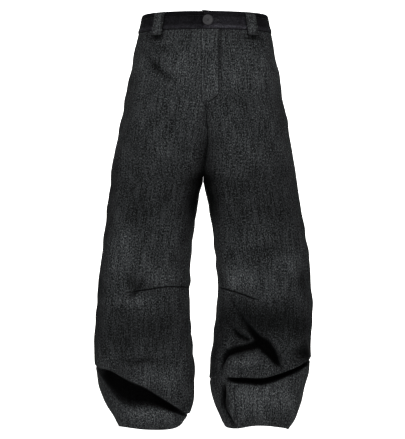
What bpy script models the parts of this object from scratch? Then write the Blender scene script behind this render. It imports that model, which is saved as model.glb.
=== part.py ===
"""Baggy barrel-leg denim jeans, hollow and filled out as if worn, with nobody in them.

Metres, +Z up. The front faces -Y and +X is the wearer's left. The origin is the centre of
the waist opening, at half the height of the waistband.

Each half of the garment is a tube that leans outwards from the waist. Above the crotch the
two tubes meet on the middle plane, which makes the rise; below it they part into two legs.
A place on a half is a height and a turn round its tube, in degrees: 0 is the front, 90 the
side seam, 180 the back, and -90 or 270 the inseam.
"""

import math
from collections import namedtuple

import bmesh
import bpy
import numpy as np
from mathutils import Matrix, Vector

MM = 0.001

# The two halves, and the way that each lies along X
RIGHT, LEFT = -1, 1
SIDE_NAMES = {RIGHT: "right", LEFT: "left"}

# Cloth walls and the space left between pieces, in millimetres
WALL = 1.8
HEM_WALL = 3.0
BAND_WALL = 3.0
BAND_PROUD = 0.8
FLY_WALL = 1.2
LOOP_WALL = 2.0
SEAM_GAP = 0.3

# Heights above the origin, in millimetres
BAND_TOP = 22.5
BAND_BOTTOM = -22.5
YOKE_SIDE = -62.0
YOKE_CENTRE_DIP = 42.0
YOKE_FADE_END = -330.0
CROTCH = -392.0
CUFF_START = -900.0
HEM = -1003.0

# How square a tube's section is: 2 is an ellipse
SQUARENESS = 2.2

# Turn that the folds' widths are measured along: millimetres of cloth for each radian
FOLD_RADIUS = 100.0

# Sections of both tubes, in millimetres. An outer edge is measured out from X = 0, and so is
# an inner edge: it is negative where the tube reaches past the middle, above the crotch.
Section = namedtuple("Section", "height middle right_outer right_inner left_outer left_inner front back")
SECTIONS = [
    Section(22.5, 0.0, 156, -156, 156, -156, -105, 106),
    Section(-22.5, 0.0, 166, -166, 166, -166, -109, 113),
    Section(-70, 0.0, 177, -157, 176, -158, -115, 130),
    Section(-120, -0.5, 188, -128, 186, -129, -121, 143),
    Section(-180, -1.0, 199, -93, 194, -95, -126, 151),
    Section(-240, -2.0, 211, -60, 206, -64, -130, 152),
    Section(-320, -3.5, 226, -22, 220, -29, -131, 145),
    Section(-392, -4.5, 236, 4.5, 231, -4.5, -129, 131),
    Section(-465, -4.5, 245, 20, 242, 11.5, -123, 114),
    Section(-530, -4.5, 253, 30, 252, 20, -118, 99),
    Section(-600, -4.5, 262, 36, 261, 28.5, -114, 86),
    Section(-685, -4.5, 269, 38, 268, 31.5, -110, 78),
    Section(-760, -4.5, 273, 35, 267, 23.5, -99, 80),
    Section(-812, -4.5, 276, 30, 265, 17, -93, 86),
    Section(-860, -4.5, 272, 27, 261, 13, -90, 91),
    Section(-915, -4.5, 260, 27, 247, 15, -88, 86),
    Section(-955, -4.5, 243, 31, 236, 26, -84, 77),
    Section(-1003, -4.5, 216, 56, 208, 50, -78, 66),
]

# The hem's own height against HEM, round each leg
HemPoint = namedtuple("HemPoint", "turn right left")
HEM_LINE = [
    HemPoint(-90, 12, 3),
    HemPoint(-40, 1, 2),
    HemPoint(0, 1, 11),
    HemPoint(45, 5, 4),
    HemPoint(90, 2, -7),
    HemPoint(180, 4, 4),
    HemPoint(270, 12, 3),
]

# The centre-front seam wanders to the wearer's left below the fly
Sway = namedtuple("Sway", "height shift")
SEAM_SWAY = [
    Sway(-190, 0),
    Sway(-230, 5),
    Sway(-290, 10),
    Sway(-350, 4),
    Sway(-385, 0),
]
SWAY_REACH = 45.0

# Folds. A trough runs along its row of points, sinks by depth and is two reaches wide; a
# negative depth is a ridge. One flap runs right round each leg over a hollow: its points give
# the flap's lower edge, the hollow's depth and the hollow's height.
FoldPoint = namedtuple("FoldPoint", "turn height depth reach")
FlapPoint = namedtuple("FlapPoint", "turn edge depth hollow")

TROUGHS = {
    RIGHT: {
        "hip_drag": [(58, -66, 2, 12), (34, -114, 6, 13), (16, -142, 5, 14), (0, -168, 1, 14)],
        "thigh": [(45, -350, 1, 22), (25, -375, 5, 24), (4, -402, 1, 22)],
        "knee": [(18, -672, 2, 14), (7, -660, 6, 14), (-4, -629, 4, 18), (-12, -590, 0, 22)],
        "shin": [(14, -735, 1, 12), (-2, -731, 4, 12), (-17, -730, 1, 12)],
        "above_flap": [(20, -848, 2, 11), (8, -838, 6, 11), (-6, -827, 6, 12), (-26, -843, 2, 12)],
        "back_thigh": [(200, -420, 0, 26), (180, -445, 5, 26), (150, -462, 1, 26)],
        "back_knee": [(140, -640, 1, 18), (175, -668, 8, 18), (215, -650, 2, 20)],
        "back_shin": [(130, -775, 1, 16), (165, -760, 5, 16), (205, -778, 1, 16)],
    },
    LEFT: {
        "hip_drag": [(40, -150, 0, 20), (30, -180, 4, 20), (26, -225, 1, 22)],
        "thigh": [(40, -350, 0, 22), (22, -378, 4, 24), (2, -395, 1, 22)],
        "knee_side": [(62, -600, 1, 18), (44, -630, 5, 20), (24, -668, 1, 20)],
        "shin_drag": [(-58, -668, 2, 11), (-40, -696, 4, 12), (-20, -743, 7, 12),
                      (-6, -776, 13, 14), (4, -803, 17, 15), (15, -832, 12, 12), (19, -848, 2, 10)],
        "arch": [(-8, -790, 10, 12), (-22, -802, 10, 11), (-36, -810, 10, 11),
                 (-46, -822, 9, 11), (-48, -850, 3, 10)],
        "lobe": [(-36, -846, -3, 16), (-14, -836, -8, 18), (8, -850, -4, 15)],
        "cuff_shadow": [(-42, -884, 3, 9), (-47, -913, 9, 10), (-52, -950, 8, 10), (-44, -988, 4, 9)],
        "cuff_ridge": [(-30, -884, -3, 10), (-33, -912, -5, 11), (-36, -950, -4, 11), (-30, -990, -1, 10)],
        "back_thigh": [(195, -405, 0, 26), (175, -432, 5, 26), (145, -450, 1, 26)],
        "back_knee": [(145, -655, 1, 18), (180, -672, 8, 18), (218, -640, 2, 20)],
        "back_shin": [(145, -770, 1, 16), (178, -785, 6, 16), (215, -765, 1, 16)],
    },
}

FLAPS = {
    RIGHT: [(-90, -976, 4, 8), (-66, -970, 7, 9), (-44, -954, 11, 11), (-24, -938, 14, 13),
            (-9, -921, 16, 17), (2, -903, 19, 24), (14, -890, 20, 30), (32, -865, 20, 40),
            (51, -857, 12, 26), (90, -848, 2, 14), (135, -856, 9, 24), (170, -876, 12, 28),
            (205, -905, 10, 24), (240, -945, 6, 14), (270, -976, 4, 8)],
    LEFT: [(-90, -880, 2, 12), (-42, -869, 4, 12), (-30, -869, 10, 14), (-14, -869, 12, 16),
           (3, -870, 14, 20), (18, -861, 13, 22), (37, -849, 14, 24), (65, -833, 9, 18),
           (90, -828, 2, 14), (130, -846, 8, 22), (175, -876, 12, 26), (215, -886, 8, 20),
           (270, -880, 2, 12)],
}
FLAP_LIP = 0.35
FLAP_LIP_REACH = 18.0

# Rows of points down a half: how many steps each stretch takes, and how they crowd its end.
# Below the last stretch the rows bend to follow the flap.
Stretch = namedtuple("Stretch", "bottom steps crowding")
STRETCHES = [
    Stretch(YOKE_SIDE, 2, 1.0),
    Stretch(-322.0, 7, 1.0),
    Stretch(CROTCH, 5, 2.0),
    Stretch(-470.0, 4, 1.0),
    Stretch(-720.0, 7, 1.0),
]
STEPS_TO_FLAP = 13
HOLLOW_SHARES = (0.22, 0.45, 0.8, 1.1, 1.4)
STEPS_TO_HEM = 5
HEM_TURN_UP_ROWS = 2
YOKE_ROW = 2
FRONT_COLUMNS = 13
BACK_COLUMNS = 9
COLUMN_EASE = 1.5

# The fly lies on both fronts. It is cut straight and rounds into the centre at its foot.
FLY_EDGE = -9.0
FLY_WIDTH = 49.0
FLY_STRAIGHT_END = -176.0
FLY_FOOT = -201.0
FLY_STRAIGHT_ROWS = 6
FLY_ROUND_ROWS = 6
FLY_COLUMNS = 6

# The waistband is one strip. Its outer end shows at the centre front, its other end lies behind.
BAND_OUTER_END = -7.0
BAND_UNDER_END = 34.0
BAND_UNDER_START = -34.0
BAND_STEPS = 60
BAND_LEVELS = (BAND_BOTTOM + SEAM_GAP, 0.0, BAND_TOP)

# Belt loops: where each stands round the waist, in degrees to the wearer's left
LOOP_TURNS = {
    "loop_front_right": -42.0,
    "loop_front_left": 42.0,
    "loop_back_right": -124.0,
    "loop_back_left": 124.0,
    "loop_back_centre": 180.0,
}
LOOP_WIDTH = 30.0
LOOP_BULGE = 2.4
LOOP_COLUMNS = 3

# Rows of a belt loop from its upper end down: its height, and how much of the bulge it has
LoopRow = namedtuple("LoopRow", "height bulge")
LOOP_ROWS = [
    LoopRow(20.0, 0.0),
    LoopRow(15.0, 0.2),
    LoopRow(8.0, 0.9),
    LoopRow(-4.0, 1.0),
    LoopRow(-16.0, 1.0),
    LoopRow(-24.0, 0.8),
    LoopRow(-31.0, 0.3),
    LoopRow(-36.0, 0.0),
]

# The button
BUTTON_X = 7.0
BUTTON_HEIGHT = -0.5
BUTTON_RADIUS = 12.8
BUTTON_RIM = 2.2
BUTTON_THICKNESS = 3.6
BUTTON_DISH = 1.2
BUTTON_SIDES = 32
BUTTON_HOLE_RADIUS = 1.0
BUTTON_HOLE_OFFSET = 2.1
BUTTON_CLEARANCE = 0.6

# Colours as linear red, green and blue
DENIM = (0.030, 0.033, 0.036)
BAND_DENIM = (0.012, 0.012, 0.014)
BUTTON_GREY = (0.045, 0.045, 0.050)


def spline(knots, values, at):
    """A smooth curve through the values, level with the chords between its neighbours."""
    knots = np.asarray(knots, float)
    values = np.asarray(values, float)
    if knots[0] > knots[-1]:
        knots = knots[::-1]
        values = values[::-1]
    slopes = np.gradient(values, knots)
    at = np.clip(at, knots[0], knots[-1])
    cell = np.clip(np.searchsorted(knots, at) - 1, 0, len(knots) - 2)
    span = knots[cell + 1] - knots[cell]
    t = (at - knots[cell]) / span
    start = values[cell] * (1 + 2 * t) * (1 - t) ** 2 + slopes[cell] * span * t * (1 - t) ** 2
    end = values[cell + 1] * t * t * (3 - 2 * t) + slopes[cell + 1] * span * t * t * (t - 1)
    return start + end


def ease(t):
    """A step from 0 to 1 that starts and ends level."""
    t = np.clip(t, 0.0, 1.0)
    return t * t * (3 - 2 * t)


def section_value(name, height):
    return spline([s.height for s in SECTIONS], [getattr(s, name) for s in SECTIONS], height)


def signed_power(value, power):
    return np.sign(value) * np.abs(value) ** power


def tube(side, height):
    """A tube's axis along X, its half width, its middle along Y and its half depth."""
    outer = section_value(SIDE_NAMES[side] + "_outer", height)
    inner = section_value(SIDE_NAMES[side] + "_inner", height)
    front = section_value("front", height)
    back = section_value("back", height)
    return side * (outer + inner) / 2, (outer - inner) / 2, (front + back) / 2, (back - front) / 2


def meeting_turn(side, height):
    """How far past the front, in degrees, a half goes before it meets the other or its inseam."""
    axis, width, _, _ = tube(side, height)
    reach = side * (axis - section_value("middle", height)) / width
    return -np.degrees(np.arcsin(np.clip(reach, 0.0, 1.0) ** (SQUARENESS / 2)))


def turn_at(side, x, height):
    """The turn on the front of a half where it stands at x."""
    axis, width, _, _ = tube(side, height)
    return np.degrees(np.arcsin(signed_power(side * (x - axis) / width, SQUARENESS / 2)))


def trough_depth(points, turn, height):
    """How far a trough sinks the cloth at each place."""
    rows = [FoldPoint(*p) for p in points]
    along = np.linspace(0, len(rows) - 1, 8 * len(rows))
    order = np.arange(len(rows))
    path_turn = spline(order, [r.turn for r in rows], along)
    path_height = spline(order, [r.height for r in rows], along)
    path_depth = spline(order, [r.depth for r in rows], along)
    path_reach = spline(order, [r.reach for r in rows], along)
    across = np.radians(turn[..., None] - path_turn) * FOLD_RADIUS
    distance = np.hypot(across, height[..., None] - path_height)
    nearest = np.argmin(distance, axis=-1)
    closest = np.take_along_axis(distance, nearest[..., None], -1)[..., 0]
    return path_depth[nearest] * np.exp(-(closest / path_reach[nearest]) ** 2)


def once_round(turn):
    """The same turn, counted from the inseam in front to the inseam behind."""
    return (turn + 90.0) % 360.0 - 90.0


def flap_value(side, name, turn):
    rows = [FlapPoint(*p) for p in FLAPS[side]]
    return spline([r.turn for r in rows], [getattr(r, name) for r in rows], once_round(turn))


def flap_depth(side, turn, height):
    """How far the cloth sinks below a flap, less how far the flap's lip stands out above it."""
    edge = flap_value(side, "edge", turn)
    hollow = flap_value(side, "hollow", turn)
    depth = flap_value(side, "depth", turn)
    below = (edge - height) / hollow
    sunk = ease(below / 0.4) * ease((1.35 - below) / 0.85)
    lip = FLAP_LIP * np.exp(-((edge - height) / FLAP_LIP_REACH) ** 2) * ease(1 - below / 0.4)
    return depth * (sunk - lip)


def fold_depth(side, turn, height):
    """How far all folds together move the cloth inwards."""
    depth = flap_depth(side, turn, height)
    for turned in (turn, turn - 360.0, turn + 360.0):
        for points in TROUGHS[side].values():
            depth += trough_depth(points, turned, height)
    return depth


def surface(side, turn, height):
    """The outside of a half at each turn and height, in millimetres."""
    turn, height = np.broadcast_arrays(np.asarray(turn, float), np.asarray(height, float))
    drops = [getattr(h, SIDE_NAMES[side]) for h in HEM_LINE]
    drop = spline([h.turn for h in HEM_LINE], drops, once_round(turn))
    hem_share = ease((CUFF_START - height) / (CUFF_START - HEM))
    axis, width, centre, depth = tube(side, height)
    angle = np.radians(turn)
    across = signed_power(np.sin(angle), 2 / SQUARENESS)
    along = -signed_power(np.cos(angle), 2 / SQUARENESS)
    out_x = side * signed_power(across, SQUARENESS - 1) / width
    out_y = signed_power(along, SQUARENESS - 1) / depth
    length = np.hypot(out_x, out_y)
    sunk = fold_depth(side, turn, height)
    x = axis + side * width * across - sunk * out_x / length
    y = centre + depth * along - sunk * out_y / length
    middle = section_value("middle", height)
    inside = np.maximum(side * (x - middle), SEAM_GAP / 2)
    sway = spline([s.height for s in SEAM_SWAY], [s.shift for s in SEAM_SWAY], height)
    facing = ease(-along * 2)
    x = middle + side * inside + sway * facing * np.exp(-(inside / SWAY_REACH) ** 2)
    return np.stack([x, y, height + drop * hem_share], axis=-1)


def outward(side, turn, height):
    """The outward direction of the cloth at a place."""
    step_turn = 2.0
    step_height = 4.0
    around = surface(side, turn + step_turn, height) - surface(side, turn - step_turn, height)
    upward = surface(side, turn, height + step_height) - surface(side, turn, height - step_height)
    normal = np.cross(around, upward) * side
    return normal / np.linalg.norm(normal, axis=-1, keepdims=True)


def row_heights():
    """The heights of the rows above the flap's stretch, from the waistband down."""
    heights = [BAND_BOTTOM]
    for stretch in STRETCHES:
        top = heights[-1]
        for step in range(1, stretch.steps + 1):
            share = 1 - (1 - step / stretch.steps) ** stretch.crowding
            heights.append(top + (stretch.bottom - top) * share)
    return np.array(heights)


def flap_rows(side, turn, top):
    """The heights of the rows from a top height to the hem, bent to follow the flap."""
    edge = flap_value(side, "edge", turn)
    hollow = flap_value(side, "hollow", turn)
    rows = [top + (edge - top) * step / STEPS_TO_FLAP for step in range(1, STEPS_TO_FLAP + 1)]
    rows += [edge - hollow * share for share in HOLLOW_SHARES]
    start = rows[-1]
    rows += [start + (HEM - start) * step / STEPS_TO_HEM for step in range(1, STEPS_TO_HEM + 1)]
    return np.stack(rows)


def half_grid(side):
    """Turn and height of every point of a half, front columns first, then the back ones."""
    heights = row_heights()
    fade = np.where(
        heights > YOKE_SIDE,
        (BAND_BOTTOM - heights) / (BAND_BOTTOM - YOKE_SIDE),
        (heights - YOKE_FADE_END) / (YOKE_SIDE - YOKE_FADE_END),
    )
    dip = YOKE_CENTRE_DIP * np.clip(fade, 0.0, 1.0)
    start = meeting_turn(side, heights)[:, None] + 90.0
    end = meeting_turn(side, heights - dip)[:, None] + 90.0
    front_share = np.linspace(0, 1, FRONT_COLUMNS + 1)
    back_share = np.linspace(0, 1, BACK_COLUMNS + 1)[1:]
    front = 180.0 * front_share - 90.0 + start * (1 - front_share) ** COLUMN_EASE
    back = 90.0 + 180.0 * back_share - end * back_share ** COLUMN_EASE
    turn = np.hstack([front, back])
    share = np.concatenate([np.zeros(FRONT_COLUMNS + 1), back_share])
    height = heights[:, None] - dip[:, None] * share
    lower_height = flap_rows(side, turn[-1], heights[-1])
    lower_turn = np.broadcast_to(turn[-1], lower_height.shape)
    return np.vstack([turn, lower_turn]), np.vstack([height, lower_height])


def grid_normals(side, points, height):
    """Outward directions of a half's grid of points, alike on both sides of each seam."""
    around = np.gradient(points, axis=1)
    closed = height[:, 0] <= CROTCH
    seam = points[closed][:, 1] - points[closed][:, -2]
    around[closed, 0] = seam
    around[closed, -1] = seam
    upward = -np.gradient(points, axis=0)
    normal = np.cross(around, upward) * side
    return normal / np.linalg.norm(normal, axis=-1, keepdims=True)


def nudge(points, columns, distance, row_step=0):
    """Move a grid's edge columns, or its edge rows, back from the seam by a small distance."""
    moved = points.copy()
    if row_step:
        edge, inner = (0, 1) if row_step > 0 else (-1, -2)
        way = points[inner] - points[edge]
        moved[edge] += distance * way / np.linalg.norm(way, axis=-1, keepdims=True)
        return moved
    for edge in columns:
        inner = edge + 1 if edge == 0 else edge - 1
        way = points[:, inner] - points[:, edge]
        moved[:, edge] += distance * way / np.linalg.norm(way, axis=-1, keepdims=True)
    return moved


def new_material(name, colour, roughness):
    material = bpy.data.materials.new(name)
    material.use_nodes = True
    shader = material.node_tree.nodes["Principled BSDF"]
    shader.inputs["Base Color"].default_value = (*colour, 1.0)
    shader.inputs["Roughness"].default_value = roughness
    shader.inputs["Metallic"].default_value = 0.0
    return material


def add_object(name, mesh, colour, roughness=0.9):
    mesh.materials.append(new_material(name, colour, roughness))
    thing = bpy.data.objects.new(name, mesh)
    bpy.context.scene.collection.objects.link(thing)
    return thing


def add_wall(name, outer, inner, colour):
    """A closed wall between two grids of points that have the same rows and columns."""
    rows, columns = outer.shape[:2]
    count = rows * columns
    points = np.concatenate([outer.reshape(-1, 3), inner.reshape(-1, 3)]) * MM
    index = np.arange(count).reshape(rows, columns)
    faces = []
    for row in range(rows - 1):
        for column in range(columns - 1):
            a = index[row, column]
            b = index[row, column + 1]
            c = index[row + 1, column + 1]
            d = index[row + 1, column]
            faces += [(a, b, c), (a, c, d)]
            faces += [(a + count, c + count, b + count), (a + count, d + count, c + count)]
    rim = list(index[0]) + list(index[1:, -1]) + list(index[-1, -2::-1]) + list(index[-2:0:-1, 0])
    for start, end in zip(rim, rim[1:] + rim[:1]):
        faces += [(start, start + count, end + count), (start, end + count, end)]
    mesh = bpy.data.meshes.new(name)
    mesh.from_pydata([tuple(p) for p in points], [], [tuple(int(i) for i in f) for f in faces])
    shell = bmesh.new()
    shell.from_mesh(mesh)
    bmesh.ops.recalc_face_normals(shell, faces=shell.faces)
    shell.to_mesh(mesh)
    shell.free()
    mesh.shade_smooth()
    return add_object(name, mesh, colour)


def add_half(side):
    """The front, the yoke and the back of one half."""
    turn, height = half_grid(side)
    outer = surface(side, turn, height)
    wall = np.full((len(height), 1, 1), WALL)
    wall[-HEM_TURN_UP_ROWS:] = HEM_WALL
    inner = outer - wall * grid_normals(side, outer, height)
    inner[0, :, 2] = BAND_BOTTOM
    seam = FRONT_COLUMNS
    last = turn.shape[1] - 1
    pieces = {
        "front": (slice(0, None), slice(0, seam + 1)),
        "yoke": (slice(0, YOKE_ROW + 1), slice(seam, last + 1)),
        "back": (slice(YOKE_ROW, None), slice(seam, last + 1)),
    }
    for piece, (rows, columns) in pieces.items():
        skins = []
        for skin in (outer, inner):
            points = nudge(skin[rows, columns], (0, -1), SEAM_GAP / 2)
            if piece == "back":
                points = nudge(points, (), SEAM_GAP, row_step=1)
            skins.append(points)
        add_wall(piece + "_" + SIDE_NAMES[side], skins[0], skins[1], DENIM)


def band_point(turn, height, out):
    """A point on the waistband's face, turned from the front to the wearer's left, moved out."""
    side = LEFT if turn >= 0 else RIGHT
    place = surface(side, abs(turn), height)
    way = outward(side, abs(turn), height) * (1.0, 1.0, 0.0)
    return place + (BAND_PROUD + out) * way / np.linalg.norm(way)


def band_turn(x):
    """The turn where the waistband's front stands at x."""
    side = LEFT if x >= 0 else RIGHT
    return side * float(turn_at(side, x, 0.0))


def add_waistband():
    """One strip right round the waist, its under end tucked behind its outer end."""
    start = band_turn(BAND_OUTER_END)
    tuck_start = 360.0 + band_turn(BAND_UNDER_START)
    tuck_end = 360.0 + start
    end = 360.0 + band_turn(BAND_UNDER_END)
    turns = list(np.linspace(start, tuck_start, BAND_STEPS)) + list(np.linspace(tuck_start, end, 9)[1:])
    outer = []
    inner = []
    for turn in turns:
        tuck = float(ease((turn - tuck_start) / (tuck_end - tuck_start - 1.0)))
        out = -tuck * (BAND_WALL + SEAM_GAP + 0.2)
        wrapped = (turn + 180.0) % 360.0 - 180.0
        outer.append([band_point(wrapped, level, out) for level in BAND_LEVELS])
        inner.append([band_point(wrapped, level, out - BAND_WALL) for level in BAND_LEVELS])
    add_wall("waistband", np.array(outer), np.array(inner), BAND_DENIM)


def fly_point(x, height, out):
    side = LEFT if x >= section_value("middle", height) else RIGHT
    turn = turn_at(side, x, height)
    return surface(side, turn, height) + out * outward(side, turn, height)


def add_fly():
    """The flat layer over the zip, whose free edge stands just right of the centre."""
    top = BAND_BOTTOM - SEAM_GAP
    heights = list(np.linspace(top, FLY_STRAIGHT_END, FLY_STRAIGHT_ROWS))
    for step in range(1, FLY_ROUND_ROWS + 1):
        angle = math.radians(80.0 * step / FLY_ROUND_ROWS)
        heights.append(FLY_STRAIGHT_END + (FLY_FOOT - FLY_STRAIGHT_END) * math.sin(angle))
    outer = []
    inner = []
    for height in heights:
        round_share = max(0.0, (FLY_STRAIGHT_END - height) / (FLY_STRAIGHT_END - FLY_FOOT))
        width = FLY_WIDTH * math.sqrt(1 - round_share ** 2)
        across = np.linspace(FLY_EDGE, FLY_EDGE + width, FLY_COLUMNS + 1)
        outer.append([fly_point(x, height, SEAM_GAP + FLY_WALL) for x in across])
        inner.append([fly_point(x, height, SEAM_GAP) for x in across])
    add_wall("fly", np.array(outer), np.array(inner), DENIM)


def loop_point(turn, row, out):
    """A point of a belt loop: over the waistband's face and then over the cloth below it."""
    height = row.height
    if height > BAND_BOTTOM:
        return band_point(turn, height, out)
    return band_point(turn, height, out - BAND_PROUD)


def add_loop(name, turn):
    """A flat strip of doubled cloth, sewn down at both ends and standing off in between."""
    middle = band_point(turn, 0.0, 0.0)
    nearby = band_point(turn + 1.0 if turn < 180.0 else turn - 1.0, 0.0, 0.0)
    half_turn = LOOP_WIDTH / 2 / np.linalg.norm(nearby - middle)
    outer = []
    inner = []
    for row in LOOP_ROWS:
        off = SEAM_GAP + 0.15 + LOOP_BULGE * row.bulge
        if row.height < BAND_BOTTOM:
            off += BAND_PROUD * (1 - row.bulge)
        turns = turn + half_turn * np.linspace(-1, 1, LOOP_COLUMNS + 1)
        wrapped = (turns + 180.0) % 360.0 - 180.0
        outer.append([loop_point(t, row, off + LOOP_WALL) for t in wrapped])
        inner.append([loop_point(t, row, off) for t in wrapped])
    add_wall(name, np.array(outer), np.array(inner), DENIM)


def add_button():
    """A dished button with four holes, standing on the waistband's outer end."""
    half = BUTTON_THICKNESS / 2
    profile = [
        (0.0, half - BUTTON_DISH),
        (BUTTON_RADIUS - BUTTON_RIM - 1.2, half - BUTTON_DISH),
        (BUTTON_RADIUS - BUTTON_RIM, half),
        (BUTTON_RADIUS - 0.8, half),
        (BUTTON_RADIUS, half - 0.9),
        (BUTTON_RADIUS, 0.6 - half),
        (BUTTON_RADIUS - 0.8, -half),
        (0.0, -half),
    ]
    shape = bmesh.new()
    points = [shape.verts.new((radius * MM, 0.0, height * MM)) for radius, height in profile]
    edges = [shape.edges.new(pair) for pair in zip(points, points[1:])]
    bmesh.ops.spin(shape, geom=points + edges, cent=(0, 0, 0), axis=(0, 0, 1),
                   angle=math.tau, steps=BUTTON_SIDES, use_merge=True)
    bmesh.ops.remove_doubles(shape, verts=shape.verts, dist=0.00001)
    bmesh.ops.recalc_face_normals(shape, faces=shape.faces)
    mesh = bpy.data.meshes.new("button")
    shape.to_mesh(mesh)
    shape.free()
    button = add_object("button", mesh, BUTTON_GREY, roughness=0.45)

    drills = bmesh.new()
    for across in (-1, 1):
        for along in (-1, 1):
            place = Matrix.Translation((across * BUTTON_HOLE_OFFSET * MM, along * BUTTON_HOLE_OFFSET * MM, 0))
            bmesh.ops.create_cone(drills, cap_ends=True, segments=10, radius1=BUTTON_HOLE_RADIUS * MM,
                                  radius2=BUTTON_HOLE_RADIUS * MM, depth=3 * BUTTON_THICKNESS * MM,
                                  matrix=place)
    drill_mesh = bpy.data.meshes.new("button_drills")
    drills.to_mesh(drill_mesh)
    drills.free()
    drill = bpy.data.objects.new("button_drills", drill_mesh)
    drill.hide_render = True
    drill.display_type = "WIRE"
    bpy.context.scene.collection.objects.link(drill)
    cut = button.modifiers.new("holes", "BOOLEAN")
    cut.operation = "DIFFERENCE"
    cut.object = drill

    turn = band_turn(BUTTON_X)
    facing = Vector(outward(LEFT, turn, BUTTON_HEIGHT))
    seat = Vector(band_point(turn, BUTTON_HEIGHT, 0.0)) + facing * (BUTTON_CLEARANCE + half)
    placing = Matrix.Translation(seat * MM) @ facing.to_track_quat("Z", "Y").to_matrix().to_4x4()
    button.matrix_world = placing
    drill.matrix_world = placing


def build():
    for thing in list(bpy.data.objects):
        bpy.data.objects.remove(thing, do_unlink=True)
    for side in (RIGHT, LEFT):
        add_half(side)
    add_waistband()
    add_fly()
    for name, turn in LOOP_TURNS.items():
        add_loop(name, turn)
    add_button()


build()
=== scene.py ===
"""The looks of a pair of baggy barrel-leg denim jeans, filled out and hollow.

Lengths are millimetres in the cloth's own maths and metres in Blender. The front faces -Y,
+X is the wearer's left, and the origin is the centre of the waist opening. Each half is a
tube; a place on it is a height and a turn in degrees: 0 front, 90 side seam, 180 back, and
-90 or 270 the inseam.
"""

import math
from collections import namedtuple

import bmesh
import bpy
import numpy as np
from mathutils import Matrix, Vector

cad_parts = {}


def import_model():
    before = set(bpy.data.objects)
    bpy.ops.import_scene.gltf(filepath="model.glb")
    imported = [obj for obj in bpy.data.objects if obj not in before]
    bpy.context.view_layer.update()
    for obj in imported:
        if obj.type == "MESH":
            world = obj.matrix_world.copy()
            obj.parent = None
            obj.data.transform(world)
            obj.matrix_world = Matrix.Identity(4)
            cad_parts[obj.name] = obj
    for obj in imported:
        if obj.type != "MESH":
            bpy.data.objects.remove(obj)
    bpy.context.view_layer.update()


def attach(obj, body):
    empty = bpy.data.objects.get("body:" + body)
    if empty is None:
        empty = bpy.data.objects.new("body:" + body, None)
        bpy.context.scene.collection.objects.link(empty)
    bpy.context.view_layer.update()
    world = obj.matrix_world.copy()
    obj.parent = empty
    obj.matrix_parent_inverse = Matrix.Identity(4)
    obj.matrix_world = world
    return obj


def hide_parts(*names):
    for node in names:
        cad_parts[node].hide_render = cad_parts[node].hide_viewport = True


MM = 0.001
RIGHT, LEFT = -1, 1
SIDE_NAMES = {RIGHT: "right", LEFT: "left"}

# Cloth walls and the space left between pieces
WALL = 1.8
HEM_WALL = 3.0
BAND_WALL = 3.0
BAND_PROUD = 0.8
FLY_WALL = 1.2
LOOP_WALL = 2.0
SEAM_GAP = 0.3

# Heights above the origin
BAND_TOP = 22.5
BAND_BOTTOM = -22.5
YOKE_SIDE = -62.0
YOKE_CENTRE_DIP = 42.0
YOKE_FADE_END = -330.0
CROTCH = -392.0
CUFF_START = -900.0
HEM = -1003.0

SQUARENESS = 2.2
FOLD_RADIUS = 100.0

# Sections of both tubes: outer and inner edges are measured out from X = 0
Section = namedtuple("Section", "height middle right_outer right_inner left_outer left_inner front back")
SECTIONS = [
    Section(22.5, 0.0, 156, -156, 156, -156, -105, 106),
    Section(-22.5, 0.0, 166, -166, 166, -166, -109, 113),
    Section(-70, 0.0, 177, -157, 176, -158, -115, 130),
    Section(-120, -0.5, 188, -128, 186, -129, -121, 143),
    Section(-180, -1.0, 199, -93, 194, -95, -126, 151),
    Section(-240, -2.0, 211, -60, 206, -64, -130, 152),
    Section(-320, -3.5, 226, -22, 220, -29, -131, 145),
    Section(-392, -4.5, 236, 4.5, 231, -4.5, -129, 131),
    Section(-465, -4.5, 245, 20, 242, 11.5, -123, 114),
    Section(-530, -4.5, 253, 30, 252, 20, -118, 99),
    Section(-600, -4.5, 262, 36, 261, 28.5, -114, 86),
    Section(-685, -4.5, 269, 38, 268, 31.5, -110, 78),
    Section(-760, -4.5, 273, 35, 267, 23.5, -99, 80),
    Section(-812, -4.5, 276, 30, 265, 17, -93, 86),
    Section(-860, -4.5, 272, 27, 261, 13, -90, 91),
    Section(-915, -4.5, 260, 27, 247, 15, -88, 86),
    Section(-955, -4.5, 243, 31, 236, 26, -84, 77),
    Section(-1003, -4.5, 216, 56, 208, 50, -78, 66),
]

HemPoint = namedtuple("HemPoint", "turn right left")
HEM_LINE = [
    HemPoint(-90, 12, 3),
    HemPoint(-40, 1, 2),
    HemPoint(0, 1, 11),
    HemPoint(45, 5, 4),
    HemPoint(90, 2, -7),
    HemPoint(180, 4, 4),
    HemPoint(270, 12, 3),
]

# The centre-front seam wanders to the wearer's left below the fly
Sway = namedtuple("Sway", "height shift")
SEAM_SWAY = [
    Sway(-190, 0),
    Sway(-230, 5),
    Sway(-290, 10),
    Sway(-350, 4),
    Sway(-385, 0),
]
SWAY_REACH = 45.0

# Folds die away where the two halves are joined, and a little below the crotch
JOIN_REACH = 14.0
JOIN_FADE = 25.0

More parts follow.
